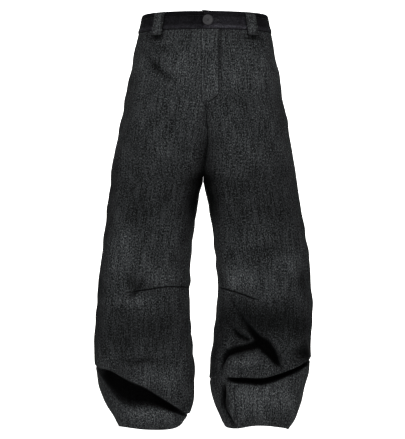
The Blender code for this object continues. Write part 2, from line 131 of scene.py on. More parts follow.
# Troughs: a row of points with the depth, or a ridge's height below zero, and half its width
FoldPoint = namedtuple("FoldPoint", "turn height depth reach")
TROUGHS = {
    RIGHT: {
        "under_loop": [(24, -44, 1, 9), (12, -48, 3, 9), (0, -47, 2, 9), (-12, -46, 0, 9)],
        "hip_drag": [(60, -58, 1, 8), (54, -74, 6, 9), (34, -114, 10, 10), (16, -142, 8, 11),
                     (0, -168, 2, 12), (-8, -182, 0, 12)],
        "hip_fold": [(64, -28, 1, 5), (58, -46, 3, 7), (52, -62, 0, 8)],
        "hip_side": [(78, -150, 0, 20), (66, -205, 4, 24), (52, -262, 0, 24)],
        "groin": [(-18, -262, 0, 14), (-38, -292, 5, 15), (-60, -334, 8, 16), (-76, -372, 4, 12)],
        "thigh": [(50, -338, 1, 20), (38, -358, 6, 22), (18, -385, 6, 24), (2, -405, 1, 24)],
        "thigh_low": [(76, -470, 0, 22), (48, -500, 4, 24), (20, -515, 0, 24)],
        "knee": [(20, -676, 1, 8), (9, -668, 9, 9), (2, -648, 7, 12), (-4, -626, 5, 15),
                 (-12, -590, 2, 20), (-14, -560, 0, 24)],
        "knee_side": [(84, -600, 0, 16), (64, -640, 4, 18), (44, -668, 3, 16), (24, -680, 0, 14)],
        "shin": [(14, -733, 1, 6), (6, -731, 4, 6), (-8, -728, 4, 6), (-19, -730, 1, 6)],
        "shin_low": [(30, -768, 0, 12), (8, -778, 3, 13), (-16, -774, 0, 14)],
        "above_flap": [(24, -850, 1, 7), (16, -846, 5, 7), (8, -838, 7, 8), (-5, -827, 7, 9),
                       (-12, -828, 5, 8), (-26, -843, 2, 9)],
        "tucks": [(84, -795, 0, 5), (76, -815, 3, 5), (72, -838, 2, 5)],
        "tuck_two": [(66, -800, 0, 5), (62, -822, 2.5, 5), (58, -842, 1, 5)],
        "cuff_fold": [(60, -930, 0, 8), (42, -926, 4, 8), (28, -938, 2, 8), (14, -958, 0, 9)],
        "inner_tuck": [(-58, -905, 0, 6), (-66, -935, 3, 6), (-72, -960, 2, 6)],
        "seat_drag": [(250, -368, 1, 14), (232, -330, 5, 16), (205, -280, 5, 20), (180, -245, 0, 24)],
        "seat_fold": [(244, -398, 2, 12), (222, -402, 7, 14), (190, -418, 5, 18), (160, -430, 0, 20)],
        "back_thigh": [(210, -470, 0, 20), (185, -488, 5, 22), (150, -500, 1, 24)],
        "back_knee": [(128, -628, 0, 14), (150, -655, 7, 15), (178, -664, 8, 16), (215, -645, 2, 18)],
        "back_knee_two": [(140, -700, 0, 12), (172, -712, 6, 13), (212, -692, 2, 14)],
        "back_shin": [(124, -776, 1, 11), (158, -758, 6, 12), (190, -765, 5, 12), (215, -782, 0, 14)],
        "back_low": [(140, -820, 0, 9), (172, -812, 5, 10), (202, -828, 4, 10), (232, -852, 0, 12)],
        "back_cuff": [(126, -948, 0, 7), (160, -936, 4, 8), (196, -950, 3, 8), (216, -966, 0, 9)],
    },
    LEFT: {
        "under_loop": [(6, -44, 0, 9), (18, -48, 3, 10), (34, -49, 5, 10), (46, -47, 1, 10)],
        "hip_drag": [(2, -168, 0, 12), (7, -188, 5, 12), (13, -210, 4, 13), (17, -240, 0, 16)],
        "hip_side": [(80, -120, 0, 20), (68, -180, 4, 24), (58, -240, 0, 24)],
        "groin": [(-14, -250, 0, 14), (-34, -282, 4, 15), (-58, -330, 7, 16), (-76, -372, 4, 12)],
        "thigh": [(52, -345, 0, 20), (32, -372, 5, 24), (4, -392, 1, 24)],
        "thigh_low": [(-34, -560, 0, 14), (-8, -565, 4, 15), (14, -560, 0, 16)],
        "knee_side": [(72, -598, 1, 14), (56, -625, 6, 16), (40, -655, 4, 16), (22, -676, 0, 16)],
        "shin_drag": [(-62, -660, 1, 6), (-56, -672, 4, 7), (-40, -697, 6, 8), (-20, -743, 11, 9),
                      (-8, -772, 18, 9), (3, -798, 26, 12), (13, -826, 24, 9), (19, -845, 8, 7)],
        "shin_branch": [(-52, -744, 0, 6), (-42, -748, 6, 7), (-33, -765, 12, 9), (-18, -780, 12, 9)],
        "arch": [(-6, -792, 20, 12), (-20, -801, 20, 10), (-34, -808, 20, 10), (-45, -818, 19, 10),
                 (-50, -838, 13, 9), (-51, -858, 6, 8)],
        "lobe": [(-38, -850, -3, 12), (-24, -838, -9, 14), (-8, -832, -11, 15), (6, -844, -7, 12)],
        "cuff_shadow": [(-43, -880, 3, 5), (-47, -912, 15, 7), (-52, -950, 14, 7),
                        (-46, -980, 11, 7), (-40, -1000, 5, 6)],
        "cuff_ridge": [(-35, -872, -3, 5), (-37, -884, -6, 6), (-36, -912, -7, 7), (-38, -950, -7, 7),
                       (-33, -985, -5, 7), (-28, -1003, -2, 7)],
        "cuff_fold": [(10, -934, 0, 10), (34, -926, 3, 11), (60, -905, 0, 12)],
        "side_tuck": [(58, -756, 0, 12), (72, -790, 4, 12), (82, -812, 3, 10), (88, -830, 0, 8)],
        "seat_drag": [(250, -368, 1, 14), (230, -328, 5, 16), (202, -282, 6, 20), (176, -238, 0, 24)],
        "seat_fold": [(246, -396, 2, 12), (220, -400, 6, 14), (186, -412, 6, 18), (154, -432, 0, 20)],
        "back_thigh": [(206, -462, 0, 20), (178, -480, 5, 22), (146, -505, 1, 24)],
        "back_knee": [(136, -640, 0, 14), (162, -668, 8, 15), (192, -662, 7, 16), (222, -632, 1, 18)],
        "back_knee_two": [(130, -690, 0, 12), (160, -716, 6, 13), (200, -710, 4, 14), (228, -690, 0, 14)],
        "back_shin": [(138, -770, 0, 11), (166, -788, 6, 12), (196, -780, 5, 12), (222, -762, 0, 14)],
        "back_low": [(128, -822, 0, 9), (156, -832, 5, 10), (190, -822, 5, 10), (226, -838, 0, 12)],
        "back_cuff": [(136, -958, 0, 7), (168, -944, 4, 8), (200, -948, 4, 8), (226, -960, 0, 9)],
    },
}

# One flap runs right round each leg over a hollow: its lower edge, and the hollow's depth and height
FlapPoint = namedtuple("FlapPoint", "turn edge depth hollow")
FLAPS = {
    RIGHT: [(-90, -976, 5, 7), (-66, -970, 9, 7), (-44, -954, 14, 10), (-24, -931, 22, 20),
            (-9, -909, 27, 31), (2, -890, 31, 44), (14, -877, 33, 56), (24, -866, 34, 64),
            (36, -853, 32, 66), (51, -850, 20, 36), (70, -850, 6, 12), (90, -846, 2, 10),
            (135, -856, 10, 22), (170, -876, 14, 28), (205, -905, 12, 24), (240, -945, 8, 14),
            (270, -976, 5, 7)],
    LEFT: [(-90, -880, 2, 10), (-42, -869, 3, 8), (-34, -871, 14, 11), (-14, -871, 20, 15),
           (3, -871, 22, 17), (18, -862, 22, 16), (37, -849, 20, 15), (65, -833, 14, 12),
           (90, -828, 4, 10), (130, -846, 10, 22), (175, -876, 14, 26), (215, -886, 10, 20),
           (270, -880, 2, 10)],
}
FLAP_LIP = 0.3
FLAP_LIP_REACH = 14.0
FLAP_SAG = 0.05

# Knee darts, taken in each front from the inseam: the line's height at each turn, and its end
DartPoint = namedtuple("DartPoint", "turn height")
DARTS = {
    RIGHT: [(-90, -653), (-60, -652), (-30, -650), (0, -658), (22, -666), (90, -676)],
    LEFT: [(-90, -654), (-60, -656), (-35, -664), (-4, -684), (30, -700), (90, -712)],
}
DART_ENDS = {RIGHT: 20.0, LEFT: -3.0}
DART_DEPTH = 1.5
DART_REACH = 1.6
DART_PUFF = 1.6
DART_PUFF_HEIGHT = 14.0
DART_PUFF_REACH = 12.0
DART_FADE = 14.0
# DART_SHADOW: how far the painted shadow reaches beside each dart's line
DART_SHADOW = 2.0

# Lighter and darker patches, with how far they spread: mostly painted light on the lit parts and painted
# shade beside the folds and seams, between the legs, under the belt loops and down the sides, and in part
# the wash
Patch = namedtuple("Patch", "turn height turn_reach height_reach change")
PATCHES = {
    RIGHT: [
        (20, -100, 42, 75, 0.42),
        (-30, -140, 26, 70, 0.35),
        (22, -440, 50, 80, -0.45),
        (40, -425, 16, 50, 0.55),
        (34, -560, 22, 55, 0.75),
        (-14, -628, 18, 20, 0.60),
        (14, -686, 32, 13, 0.60),
        (9, -640, 10, 26, -0.60),
        (10, -755, 60, 60, -0.52),
        (-16, -875, 30, 26, 0.55),
        (10, -966, 50, 24, 0.60),
        (4, -832, 26, 7, -0.50),
        (-70, -300, 32, 80, -0.80),
        (-78, -388, 36, 20, -0.98),
        (-78, -435, 28, 60, -0.97),
        (82, -520, 26, 420, -0.88),
        (-80, -430, 28, 60, -0.96),
        (34, -112, 9, 14, -0.40),
        (42, -40, 10, 7, -0.95),
        (56, -30, 2, 14, -0.8),
        (30, -72, 16, 10, -0.35),
    ],
    LEFT: [
        (20, -110, 48, 80, 0.42),
        (-40, -120, 24, 60, 0.42),
        (10, -440, 60, 85, -0.38),
        (-38, -630, 24, 30, 0.80),
        (32, -606, 18, 50, 0.45),
        (2, -560, 22, 16, -0.40),
        (0, -735, 80, 50, -0.75),
        (-55, -700, 22, 60, -0.25),
        (6, -930, 46, 48, 0.80),
        (-18, -832, 18, 13, 0.60),
        (-72, -815, 20, 60, -0.60),
        (52, -640, 9, 50, -0.50),
        (-74, -310, 22, 75, -0.65),
        (60, -815, 32, 26, -0.94),
        (-78, -388, 34, 20, -0.98),
        (-78, -435, 26, 60, -0.97),
        (90, -520, 30, 420, -0.70),
        (-80, -430, 26, 60, -0.96),
        (-48, -935, 8, 48, -0.85),
        (42, -40, 10, 7, -0.95),
        (8, -200, 10, 24, -0.35),
        (50, -765, 30, 30, -0.35),
    ],
}

# Small uneven waves in the cloth: how many, their lengths and their rise
WAVE_SEED = 11
WAVE_COUNT = 26
WAVE_LENGTHS = (38.0, 150.0)
WAVE_RISE = 0.017
WAVE_SLOW_RISE = 0.5

# Seams: the cloth rolls in to its stitched edge, and puckers a little along it
SEAM_ROLL = 1.1
SEAM_ROLL_REACH = 2.6
PUCKER = 0.35
PUCKER_LENGTH = 17.0
PUCKER_REACH = 16.0
PUCKER_START = 4.0
PUCKER_DRIFT_DOWN = 31.0
PUCKER_DRIFT_ACROSS = 27.0
FULL_ROLL_FACING = 0.6

# The rows and columns of a half's fine grid
ROW_STEP_WIDE = 6.0
ROW_STEP = 3.6
FRONT_COLUMNS = 88
BACK_COLUMNS = 80
COLUMN_EASE = 1.5
EDGE_COLUMN_SHARES = (0.0, 0.0035, 0.008, 0.015)
STRAIGHT_END = -432.0
HEM_ROWS = 4
HOLLOW_SHARES = (0.1, 0.22, 0.36, 0.55, 0.75, 0.95, 1.15, 1.4)
DART_ROWS = (4.0, 2.0, 1.0, 0.0, -1.0, -2.0, -4.0)

# The fly
FLY_EDGE = -9.0
FLY_WIDTH = 49.0
FLY_STRAIGHT_END = -176.0
FLY_FOOT = -201.0
FLY_COLUMNS = 70
FLY_STITCH_INSET = (0.8, 6.2)

# The waistband: ends along its front, and its face's profile from the lower edge up
BAND_OUTER_END = -7.0
BAND_UNDER_START = -34.0
BAND_UNDER_END = 34.0
BAND_STEPS = 300
BandLevel = namedtuple("BandLevel", "height out")
BAND_PROFILE = [
    BandLevel(-22.2, -0.7),
    BandLevel(-21.4, 0.1),
    BandLevel(-19.0, 1.0),
    BandLevel(-16.0, 1.5),
    BandLevel(-12.5, 1.1),
    BandLevel(-9.0, 0.3),
    BandLevel(-4.0, 0.0),
    BandLevel(2.0, 0.1),
    BandLevel(7.0, 0.4),
    BandLevel(9.4, 0.3),
    BandLevel(10.2, -0.4),
    BandLevel(11.0, 0.2),
    BandLevel(14.0, 0.7),
    BandLevel(18.0, 0.5),
    BandLevel(20.6, -0.1),
    BandLevel(22.0, -1.0),
    BandLevel(22.5, -1.7),
]
BAND_END_RISE = 2.2
BAND_LIGHTER = 1.3
BAND_LIGHT_END = 46.0
# Painted light and shade across the band's face: lighter on its raised ridge, darker at its edges and along
# its stitched groove
BAND_PAINTED_SHADING_HEIGHTS = (-22.5, -20.5, -18.0, -15.0, -10.0, 8.0, 10.2, 12.0, 22.5)
BAND_PAINTED_SHADING = (0.1, 0.6, 2.4, 2.0, 0.8, 0.8, 0.2, 0.5, 0.5)

# Belt loops
LOOP_TURNS = {
    "loop_front_right": -42.0,
    "loop_front_left": 42.0,
    "loop_back_right": -124.0,
    "loop_back_left": 124.0,
    "loop_back_centre": 180.0,
}
LOOP_WIDTH = 30.0
LOOP_BULGE = 2.4
LOOP_PAD = 1.3
LOOP_TOP = 20.0
LOOP_FOOT = -36.0
LoopRow = namedtuple("LoopRow", "height bulge")
LOOP_ROWS = [
    LoopRow(20.0, 0.0),
    LoopRow(15.0, 0.2),
    LoopRow(8.0, 0.9),
    LoopRow(-4.0, 1.0),
    LoopRow(-16.0, 1.0),
    LoopRow(-24.0, 0.8),
    LoopRow(-31.0, 0.3),
    LoopRow(-36.0, 0.0),
]
LOOP_STITCH_INSET = 4.5

# The button
BUTTON_X = 7.0
BUTTON_HEIGHT = -0.5
BUTTON_RADIUS = 12.8
BUTTON_THICKNESS = 3.6
BUTTON_HOLE_RADIUS = 1.0
BUTTON_HOLE_OFFSET = 2.1
BUTTON_CLEARANCE = 0.6
BUTTON_SIDES = 72
BUTTON_PROFILE = [
    (0.0, 0.55), (4.6, 0.6), (6.6, 0.75), (8.2, 1.15), (9.2, 1.65), (10.2, 1.85), (11.3, 1.75),
    (12.2, 1.3), (12.7, 0.6), (BUTTON_RADIUS, 0.0), (12.5, -1.1), (11.6, -1.65), (10.4, -1.8), (0.0, -1.8),
]

# Sewing
STITCH_LENGTH = 3.0
STITCH_GAP = 1.0
STITCH_RADIUS = 0.34
HEM_STITCH_HEIGHT = 13.0

# Colours, linear
DENIM_DARK = (0.0030, 0.0031, 0.0033)
DENIM_MID = (0.0172, 0.0184, 0.0190)
DENIM_FLECK = (0.150, 0.158, 0.160)
BAND_DARK = (0.0020, 0.0019, 0.0023)
BAND_MID = (0.0052, 0.0051, 0.0060)
BAND_FLECK = (0.030, 0.029, 0.034)
THREAD = (0.007, 0.007, 0.008)
BUTTON_GREY = (0.0105, 0.0102, 0.0114)
PALE = (0.86, 0.86, 0.86)

# The weave: slanting lines in turns of the sine a metre, then each layer of marks with its size
# across and along in metres, its detail and its roughness: yarn, mottle, slubs and clouds
TWILL_ACROSS = 3900.0
TWILL_ALONG = 2700.0
CLOTH_MARKS = (
    (0.0011, 0.0034, 3.0, 0.7),
    (0.0029, 0.0046, 3.0, 0.75),
    (0.0042, 0.055, 2.0, 0.5),
    (0.055, 0.085, 3.0, 0.55),
)
CLOUD_CHANGE = 0.26
# HOLLOW_SHADE: how dark the painted shade makes the cloth in hollows
HOLLOW_SHADE = 0.96
CLOTH_ROUGHNESS = 0.88
CLOTH_SPECULAR = 0.015
CLOTH_RELIEF = 0.0007
PLAIN_SPECULAR = 0.22
FLECK_SHARE = 0.85
BAND_FLECK_SHARE = 0.7
LOOP_TONE = 1.4

# Soft lights: place, aim, width, height and power
LIGHTS = {
    "key": ((-1.0, -3.6, 1.7), (0.0, 0.0, -0.45), 1.4, 1.2, 110),
    "fill": ((1.9, -3.3, 0.3), (0.0, 0.0, -0.55), 1.4, 1.6, 26),
    "top": ((0.0, -0.6, 2.6), (0.0, 0.0, -0.5), 2.4, 1.6, 34),
    "back": ((0.0, 3.6, 3.0), (0.0, 6.5, 0.0), 5.0, 1.0, 90),
}
SKY_STRENGTH = 0.5
FLOOR_BELOW_HEM = 0.03
FLOOR_END = 6.5
FLOOR_SIDE = 8.0
BACKDROP_TOP = 4.2
BACKDROP_BEND = 1.2

# The photograph: its size in pixels, what a pixel covers at the garment, and how far off it is
PHOTO_HEIGHT = 439
PIXEL = 0.0025
CAMERA_DISTANCE = 4.0
CAMERA_X = -0.006
CAMERA_Z = -0.486
SENSOR = 36.0


def spline(knots, values, at):
    """A smooth curve through the values."""
    knots = np.asarray(knots, float)
    values = np.asarray(values, float)
    if knots[0] > knots[-1]:
        knots = knots[::-1]
        values = values[::-1]
    slopes = np.gradient(values, knots)
    at = np.clip(at, knots[0], knots[-1])
    cell = np.clip(np.searchsorted(knots, at) - 1, 0, len(knots) - 2)
    span = knots[cell + 1] - knots[cell]
    t = (at - knots[cell]) / span
    start = values[cell] * (1 + 2 * t) * (1 - t) ** 2 + slopes[cell] * span * t * (1 - t) ** 2
    end = values[cell + 1] * t * t * (3 - 2 * t) + slopes[cell + 1] * span * t * t * (t - 1)
    return start + end


def ease(t):
    """A step from 0 to 1 that starts and ends level."""
    t = np.clip(t, 0.0, 1.0)
    return t * t * (3 - 2 * t)


def signed_power(value, power):
    return np.sign(value) * np.abs(value) ** power


def once_round(turn):
    """The same turn, counted from the inseam in front to the inseam behind."""
    return (turn + 90.0) % 360.0 - 90.0


def section_value(name, height):
    return spline([s.height for s in SECTIONS], [getattr(s, name) for s in SECTIONS], height)


def tube(side, height):
    """A tube's axis along X, its half width, its middle along Y and its half depth."""
    outer = section_value(SIDE_NAMES[side] + "_outer", height)
    inner = section_value(SIDE_NAMES[side] + "_inner", height)
    front = section_value("front", height)
    back = section_value("back", height)
    return side * (outer + inner) / 2, (outer - inner) / 2, (front + back) / 2, (back - front) / 2


def meeting_turn(side, height):
    """The turn where a half meets the other half in front, or its own inseam."""
    axis, width, _, _ = tube(side, height)
    reach = side * (axis - section_value("middle", height)) / width
    return -np.degrees(np.arcsin(np.clip(reach, 0.0, 1.0) ** (SQUARENESS / 2)))


def turn_at(side, x, height):
    """The turn on the front of a half where it stands at x."""
    axis, width, _, _ = tube(side, height)
    return np.degrees(np.arcsin(signed_power(side * (x - axis) / width, SQUARENESS / 2)))


def trough_path(points):
    """A trough's finely stepped turns, heights, depths and reaches."""
    rows = [FoldPoint(*p) for p in points]
    order = np.arange(len(rows))
    along = np.linspace(0, len(rows) - 1, 8 * len(rows))
    return [spline(order, [getattr(r, name) for r in rows], along) for name in FoldPoint._fields]


TROUGH_PATHS = {side: [trough_path(p) for p in TROUGHS[side].values()] for side in (RIGHT, LEFT)}


def trough_depth(path, turn, height):
    """How far a trough sinks the cloth at each place."""
    path_turn, path_height, path_depth, path_reach = path
    margin = 2.6 * path_reach.max()
    near = (height > path_height.min() - margin) & (height < path_height.max() + margin)
    near &= (turn > path_turn.min() - margin) & (turn < path_turn.max() + margin)
    depth = np.zeros_like(turn)
    if not near.any():
        return depth
    across = np.radians(turn[near][:, None] - path_turn) * FOLD_RADIUS
    distance = np.hypot(across, height[near][:, None] - path_height)
    nearest = np.argmin(distance, axis=-1)
    closest = np.take_along_axis(distance, nearest[:, None], -1)[:, 0]
    depth[near] = path_depth[nearest] * np.exp(-(closest / path_reach[nearest]) ** 2)
    return depth


def flap_value(side, name, turn):
    rows = [FlapPoint(*p) for p in FLAPS[side]]
    return spline([r.turn for r in rows], [getattr(r, name) for r in rows], once_round(turn))


def dart_height(side, turn):
    rows = [DartPoint(*p) for p in DARTS[side]]
    return spline([r.turn for r in rows], [r.height for r in rows], turn)


def dart_depth(side, turn, height):
    """The dart's stitched line, and the fullness that it leaves above it."""
    above = height - dart_height(side, turn)
    fade = ease((DART_ENDS[side] - turn) / DART_FADE) * ease((turn + 100.0) / 8.0)
    line = DART_DEPTH * np.exp(-(above / DART_REACH) ** 2)
    puff = DART_PUFF * np.exp(-((above - DART_PUFF_HEIGHT) / DART_PUFF_REACH) ** 2)
    return fade * (line - puff)


def waves(side, turn, height):
    """Small uneven waves over all the cloth, in millimetres."""
    draw = np.random.default_rng(WAVE_SEED + side)
    across = np.radians(turn) * FOLD_RADIUS
    total = np.zeros_like(across)
    for _ in range(WAVE_COUNT):
        length = draw.uniform(*WAVE_LENGTHS)
        slant = draw.normal(math.pi / 2, 0.75)
        phase = draw.uniform(0, math.tau)
        bend = draw.uniform(30, 60)
        drift = bend * np.sin(across / draw.uniform(60, 140) + height / draw.uniform(80, 190) + phase)
        way = across * math.cos(slant) + height * math.sin(slant)
        total += WAVE_RISE * length ** 0.62 * np.sin((way + 0.35 * drift) * math.tau / length + phase)
    slow = np.sin(across / 47.0 + 1.3 * side) * np.sin(height / 61.0 + across / 90.0)
    return total + WAVE_SLOW_RISE * slow


def fold_depth(side, turn, height):
    """How far all the folds together move the cloth inwards, and how much painted shade darkens their
    hollows.
    """
    edge = flap_value(side, "edge", turn)
    hollow = flap_value(side, "hollow", turn)
    depth = flap_value(side, "depth", turn)
    below = (edge - height) / hollow
    sunk = ease(below / 0.36) * ease((1.3 - below) / 0.75)
    lip = np.exp(-((edge - height) / FLAP_LIP_REACH) ** 2) * ease(1 - below / 0.3)
    total = depth * (sunk - FLAP_LIP * lip)
    sag = FLAP_SAG * depth * lip
    # Painted shade in the hollow under each flap
    dark = ease(depth / 16.0) * ease((below + 0.02) / 0.14) * ease((1.4 - below) / 0.35)
    for turned in (turn, turn - 360.0, turn + 360.0):
        for path in TROUGH_PATHS[side]:
            trough = trough_depth(path, turned, height)
            total += trough
            # Painted shade in the deeper troughs
            dark = np.maximum(dark, ease((trough - 2.5) / 11.0))
    total += dart_depth(side, turn, height)
    # Painted shadow along each dart's stitched line
    dart = ease((DART_ENDS[side] - turn) / DART_FADE) * (turn < 90)
    dark = np.maximum(dark, dart * np.exp(-((height - dart_height(side, turn)) / DART_SHADOW) ** 2))
    return total, sag, dark


def painted_light_and_wash(side, turn, height):
    """How much lighter or darker than the rest the cloth is at each place: painted light and shade, and in
    part the wash.
    """
    total = np.ones_like(turn)
    for patch in (Patch(*p) for p in PATCHES[side]):
        away = ((turn - patch.turn) / patch.turn_reach) ** 2
        away = away + ((height - patch.height) / patch.height_reach) ** 2
        total = total * (1 + patch.change * np.exp(-away))
    return total


def surface(side, turn, height, with_painted_shade=False):
    """The outside of a half at each turn and height, in millimetres, and if asked the painted shade in its
    folds.
    """
    turn, height = np.broadcast_arrays(np.asarray(turn, float), np.asarray(height, float))
    drops = [getattr(h, SIDE_NAMES[side]) for h in HEM_LINE]
    drop = spline([h.turn for h in HEM_LINE], drops, once_round(turn))
    hem_share = ease((CUFF_START - height) / (CUFF_START - HEM))
    axis, width, centre, depth = tube(side, height)
    angle = np.radians(turn)
    across = signed_power(np.sin(angle), 2 / SQUARENESS)
    along = -signed_power(np.cos(angle), 2 / SQUARENESS)
    out_x = side * signed_power(across, SQUARENESS - 1) / width
    out_y = signed_power(along, SQUARENESS - 1) / depth
    length = np.hypot(out_x, out_y)
    sunk, sag, dark = fold_depth(side, turn, height)
    quiet = ease((BAND_BOTTOM - height) / 60.0)
    sunk = sunk - quiet * waves(side, once_round(turn), height)
    apart = side * (axis + side * width * across - section_value("middle", height))
    joined = ease((height - CROTCH) / JOIN_FADE + 1)
    sunk = sunk * (1 - joined * np.exp(-(np.maximum(apart, 0.0) / JOIN_REACH) ** 2))
    x = axis + side * width * across - sunk * out_x / length
    y = centre + depth * along - sunk * out_y / length
    middle = section_value("middle", height)
    inside = np.maximum(side * (x - middle), SEAM_GAP / 2)
    sway = spline([s.height for s in SEAM_SWAY], [s.shift for s in SEAM_SWAY], height)
    facing = ease(-along * 2)
    x = middle + side * inside + sway * facing * np.exp(-(inside / SWAY_REACH) ** 2)
    place = np.stack([x, y, height + drop * hem_share - sag], axis=-1)
    return (place, dark) if with_painted_shade else place


def outward(side, turn, height):
    """The outward direction of the cloth at a place."""
    step_turn = 1.5
    step_height = 3.0
    around = surface(side, turn + step_turn, height) - surface(side, turn - step_turn, height)
    upward = surface(side, turn, height + step_height) - surface(side, turn, height - step_height)
    normal = np.cross(around, upward) * side
    return normal / np.linalg.norm(normal, axis=-1, keepdims=True)


def shares(count, start_tight=True, end_tight=True):
    """Shares from 0 to 1 for a grid's columns, close together beside the seams."""
    edge = np.array(EDGE_COLUMN_SHARES)
    start = edge if start_tight else edge[:1]
    end = 1 - edge[::-1] if end_tight else 1 - edge[:1]
    middle = np.linspace(start[-1], end[0], count)
    return np.concatenate([start[:-1], middle, end[1:]])


def steps_between(top, bottom, step, crowding=1.0):
    """Heights below a top one down to a bottom one, about a step apart."""
    count = max(1, int(round((top - bottom) / step)))
    share = 1 - (1 - np.arange(1, count + 1) / count) ** crowding
    return top + (bottom - top) * share


def straight_rows():
    """The heights of the rows that don't bend, and how many of them are on the yoke."""
    yoke = steps_between(BAND_BOTTOM - 3, YOKE_SIDE, ROW_STEP_WIDE)
    edge = [BAND_BOTTOM, BAND_BOTTOM - 1, BAND_BOTTOM - 3]
    thigh = steps_between(YOKE_SIDE, -322.0, ROW_STEP_WIDE)
    rise = steps_between(-322.0, CROTCH, ROW_STEP_WIDE * 0.6, crowding=2.0)
    below = steps_between(CROTCH, STRAIGHT_END, ROW_STEP_WIDE)
    return np.concatenate([edge, yoke, thigh, rise, below]), len(edge) + len(yoke) - 1


def bent_rows(side, turn, top):
    """The heights of the rows that follow the dart and the flap, down to the hem."""
    dart = dart_height(side, np.minimum(turn, 180.0 - turn))
    edge = flap_value(side, "edge", turn)
    hollow = flap_value(side, "hollow", turn)
    rows = []
    count = int((top - dart.mean()) / ROW_STEP_WIDE)
    for step in range(1, count):
        rows.append(top + (dart + DART_ROWS[0] - top) * step / count)
    rows += [dart + offset for offset in DART_ROWS]
    start = rows[-1]
    count = int((start - edge).mean() / ROW_STEP)
    for step in range(1, count + 1):
        rows.append(start + (edge - start) * step / count)
    rows += [edge - hollow * share for share in HOLLOW_SHARES]
    start = rows[-1]
    count = int(np.max(start - HEM) / ROW_STEP)
    for step in range(1, count + 1):
        rows.append(start + (HEM - start) * step / count)
    return np.stack(rows)


def half_grid(side):
    """Turn and height of every point of a half: front columns, then back ones."""
    heights, yoke_row = straight_rows()
    fade = np.where(
        heights > YOKE_SIDE,
        (BAND_BOTTOM - heights) / (BAND_BOTTOM - YOKE_SIDE),
        (heights - YOKE_FADE_END) / (YOKE_SIDE - YOKE_FADE_END),
    )
    dip = YOKE_CENTRE_DIP * np.clip(fade, 0.0, 1.0)
    start = meeting_turn(side, heights)[:, None] + 90.0
    end = meeting_turn(side, heights - dip)[:, None] + 90.0
    front_share = shares(FRONT_COLUMNS)
    back_share = shares(BACK_COLUMNS)[1:]
    front = 180.0 * front_share - 90.0 + start * (1 - front_share) ** COLUMN_EASE
    back = 90.0 + 180.0 * back_share - end * back_share ** COLUMN_EASE
    turn = np.hstack([front, back])
    share = np.concatenate([np.zeros(len(front_share)), back_share])
    height = heights[:, None] - dip[:, None] * share
    lower = bent_rows(side, turn[-1], heights[-1])
    turn = np.vstack([turn, np.broadcast_to(turn[-1], lower.shape)])
    return turn, np.vstack([height, lower]), yoke_row, len(front_share) - 1


def grid_normals(side, points, height):
    """Outward directions of a half's grid, alike on both sides of each seam."""
    around = np.gradient(points, axis=1)
    closed = height[:, 0] <= CROTCH
    seam = points[closed][:, 1] - points[closed][:, -2]
    around[closed, 0] = seam
    around[closed, -1] = seam
    upward = -np.gradient(points, axis=0)
    normal = np.cross(around, upward) * side
    normal /= np.maximum(np.linalg.norm(normal, axis=-1, keepdims=True), 1e-9)
    for _ in range(2):
        normal[1:-1] = normal[:-2] + 2 * normal[1:-1] + normal[2:]
        normal /= np.maximum(np.linalg.norm(normal, axis=-1, keepdims=True), 1e-9)
    return normal


def puckers(distance, drift):
    """An uneven ripple along a seam."""
    return np.sin(distance * math.tau / PUCKER_LENGTH + 2 * np.sin(distance / drift))


def roll_edges(points, normals, top_seam, bottom_seam):
    """Turn a panel's edges in at its seams, with small puckers beside them."""
    across = np.linalg.norm(np.diff(points, axis=1), axis=-1)
    across = np.hstack([np.zeros((len(points), 1)), np.cumsum(across, axis=1)])
    down = np.linalg.norm(np.diff(points, axis=0), axis=-1)
    down = np.vstack([np.zeros((1, points.shape[1])), np.cumsum(down, axis=0)])
    from_edge = np.minimum(across, across[:, -1:] - across)
    ripple = puckers(down, PUCKER_DRIFT_DOWN)
    vertical = []
    if top_seam:
        vertical.append(down)
    if bottom_seam:
        vertical.append(down[-1:] - down)
    for distance in vertical:
        ripple = np.where(distance < from_edge, puckers(across, PUCKER_DRIFT_ACROSS), ripple)
        from_edge = np.minimum(from_edge, distance)
    inwards = SEAM_ROLL * np.exp(-(from_edge / SEAM_ROLL_REACH) ** 2)
    rise = PUCKER * (1 + ripple) * np.exp(-(from_edge / PUCKER_REACH) ** 2)
    inwards += rise * ease(from_edge / PUCKER_START)
    inwards *= ease(np.abs(normals[..., 1]) / FULL_ROLL_FACING)
    return points - inwards[..., None] * normals


def new_nodes(name):
    material = bpy.data.materials.new(name)
    material.use_nodes = True
    tree = material.node_tree
    return material, tree, tree.nodes["Principled BSDF"]


def link(tree, start, end):
    tree.links.new(start, end)


def add_node(tree, kind, **settings):
    node = tree.nodes.new(kind)
    for key, value in settings.items():
        setattr(node, key, value)
    return node


def maths(tree, operation, first, second=None, third=None):
    node = add_node(tree, "ShaderNodeMath", operation=operation)
    for socket, value in zip(node.inputs, (first, second, third)):
        if value is None:
            continue
        if isinstance(value, (int, float)):
            socket.default_value = value
        else:
            link(tree, value, socket)
    return node.outputs[0]


def mix_colour(tree, factor, first, second, blend="MIX"):
    node = add_node(tree, "ShaderNodeMix", data_type="RGBA", blend_type=blend)
    for socket, value in ((node.inputs[0], factor), (node.inputs[6], first), (node.inputs[7], second)):
        if isinstance(value, tuple):
            socket.default_value = (*value, 1.0)
        elif isinstance(value, (int, float)):
            socket.default_value = value
        else:
            link(tree, value, socket)
    return node.outputs[2]


def stretched_noise(tree, uv, across, along, detail, roughness):
    """Noise whose marks are about across by along metres on the cloth."""
    mapping = add_node(tree, "ShaderNodeMapping")
    mapping.inputs["Scale"].default_value = (1 / across, 1 / along, 1.0)
    link(tree, uv, mapping.inputs["Vector"])
    noise = add_node(tree, "ShaderNodeTexNoise")
    noise.inputs["Scale"].default_value = 1.0
    noise.inputs["Detail"].default_value = detail
    noise.inputs["Roughness"].default_value = roughness
    link(tree, mapping.outputs["Vector"], noise.inputs["Vector"])
    return noise.outputs["Fac"]


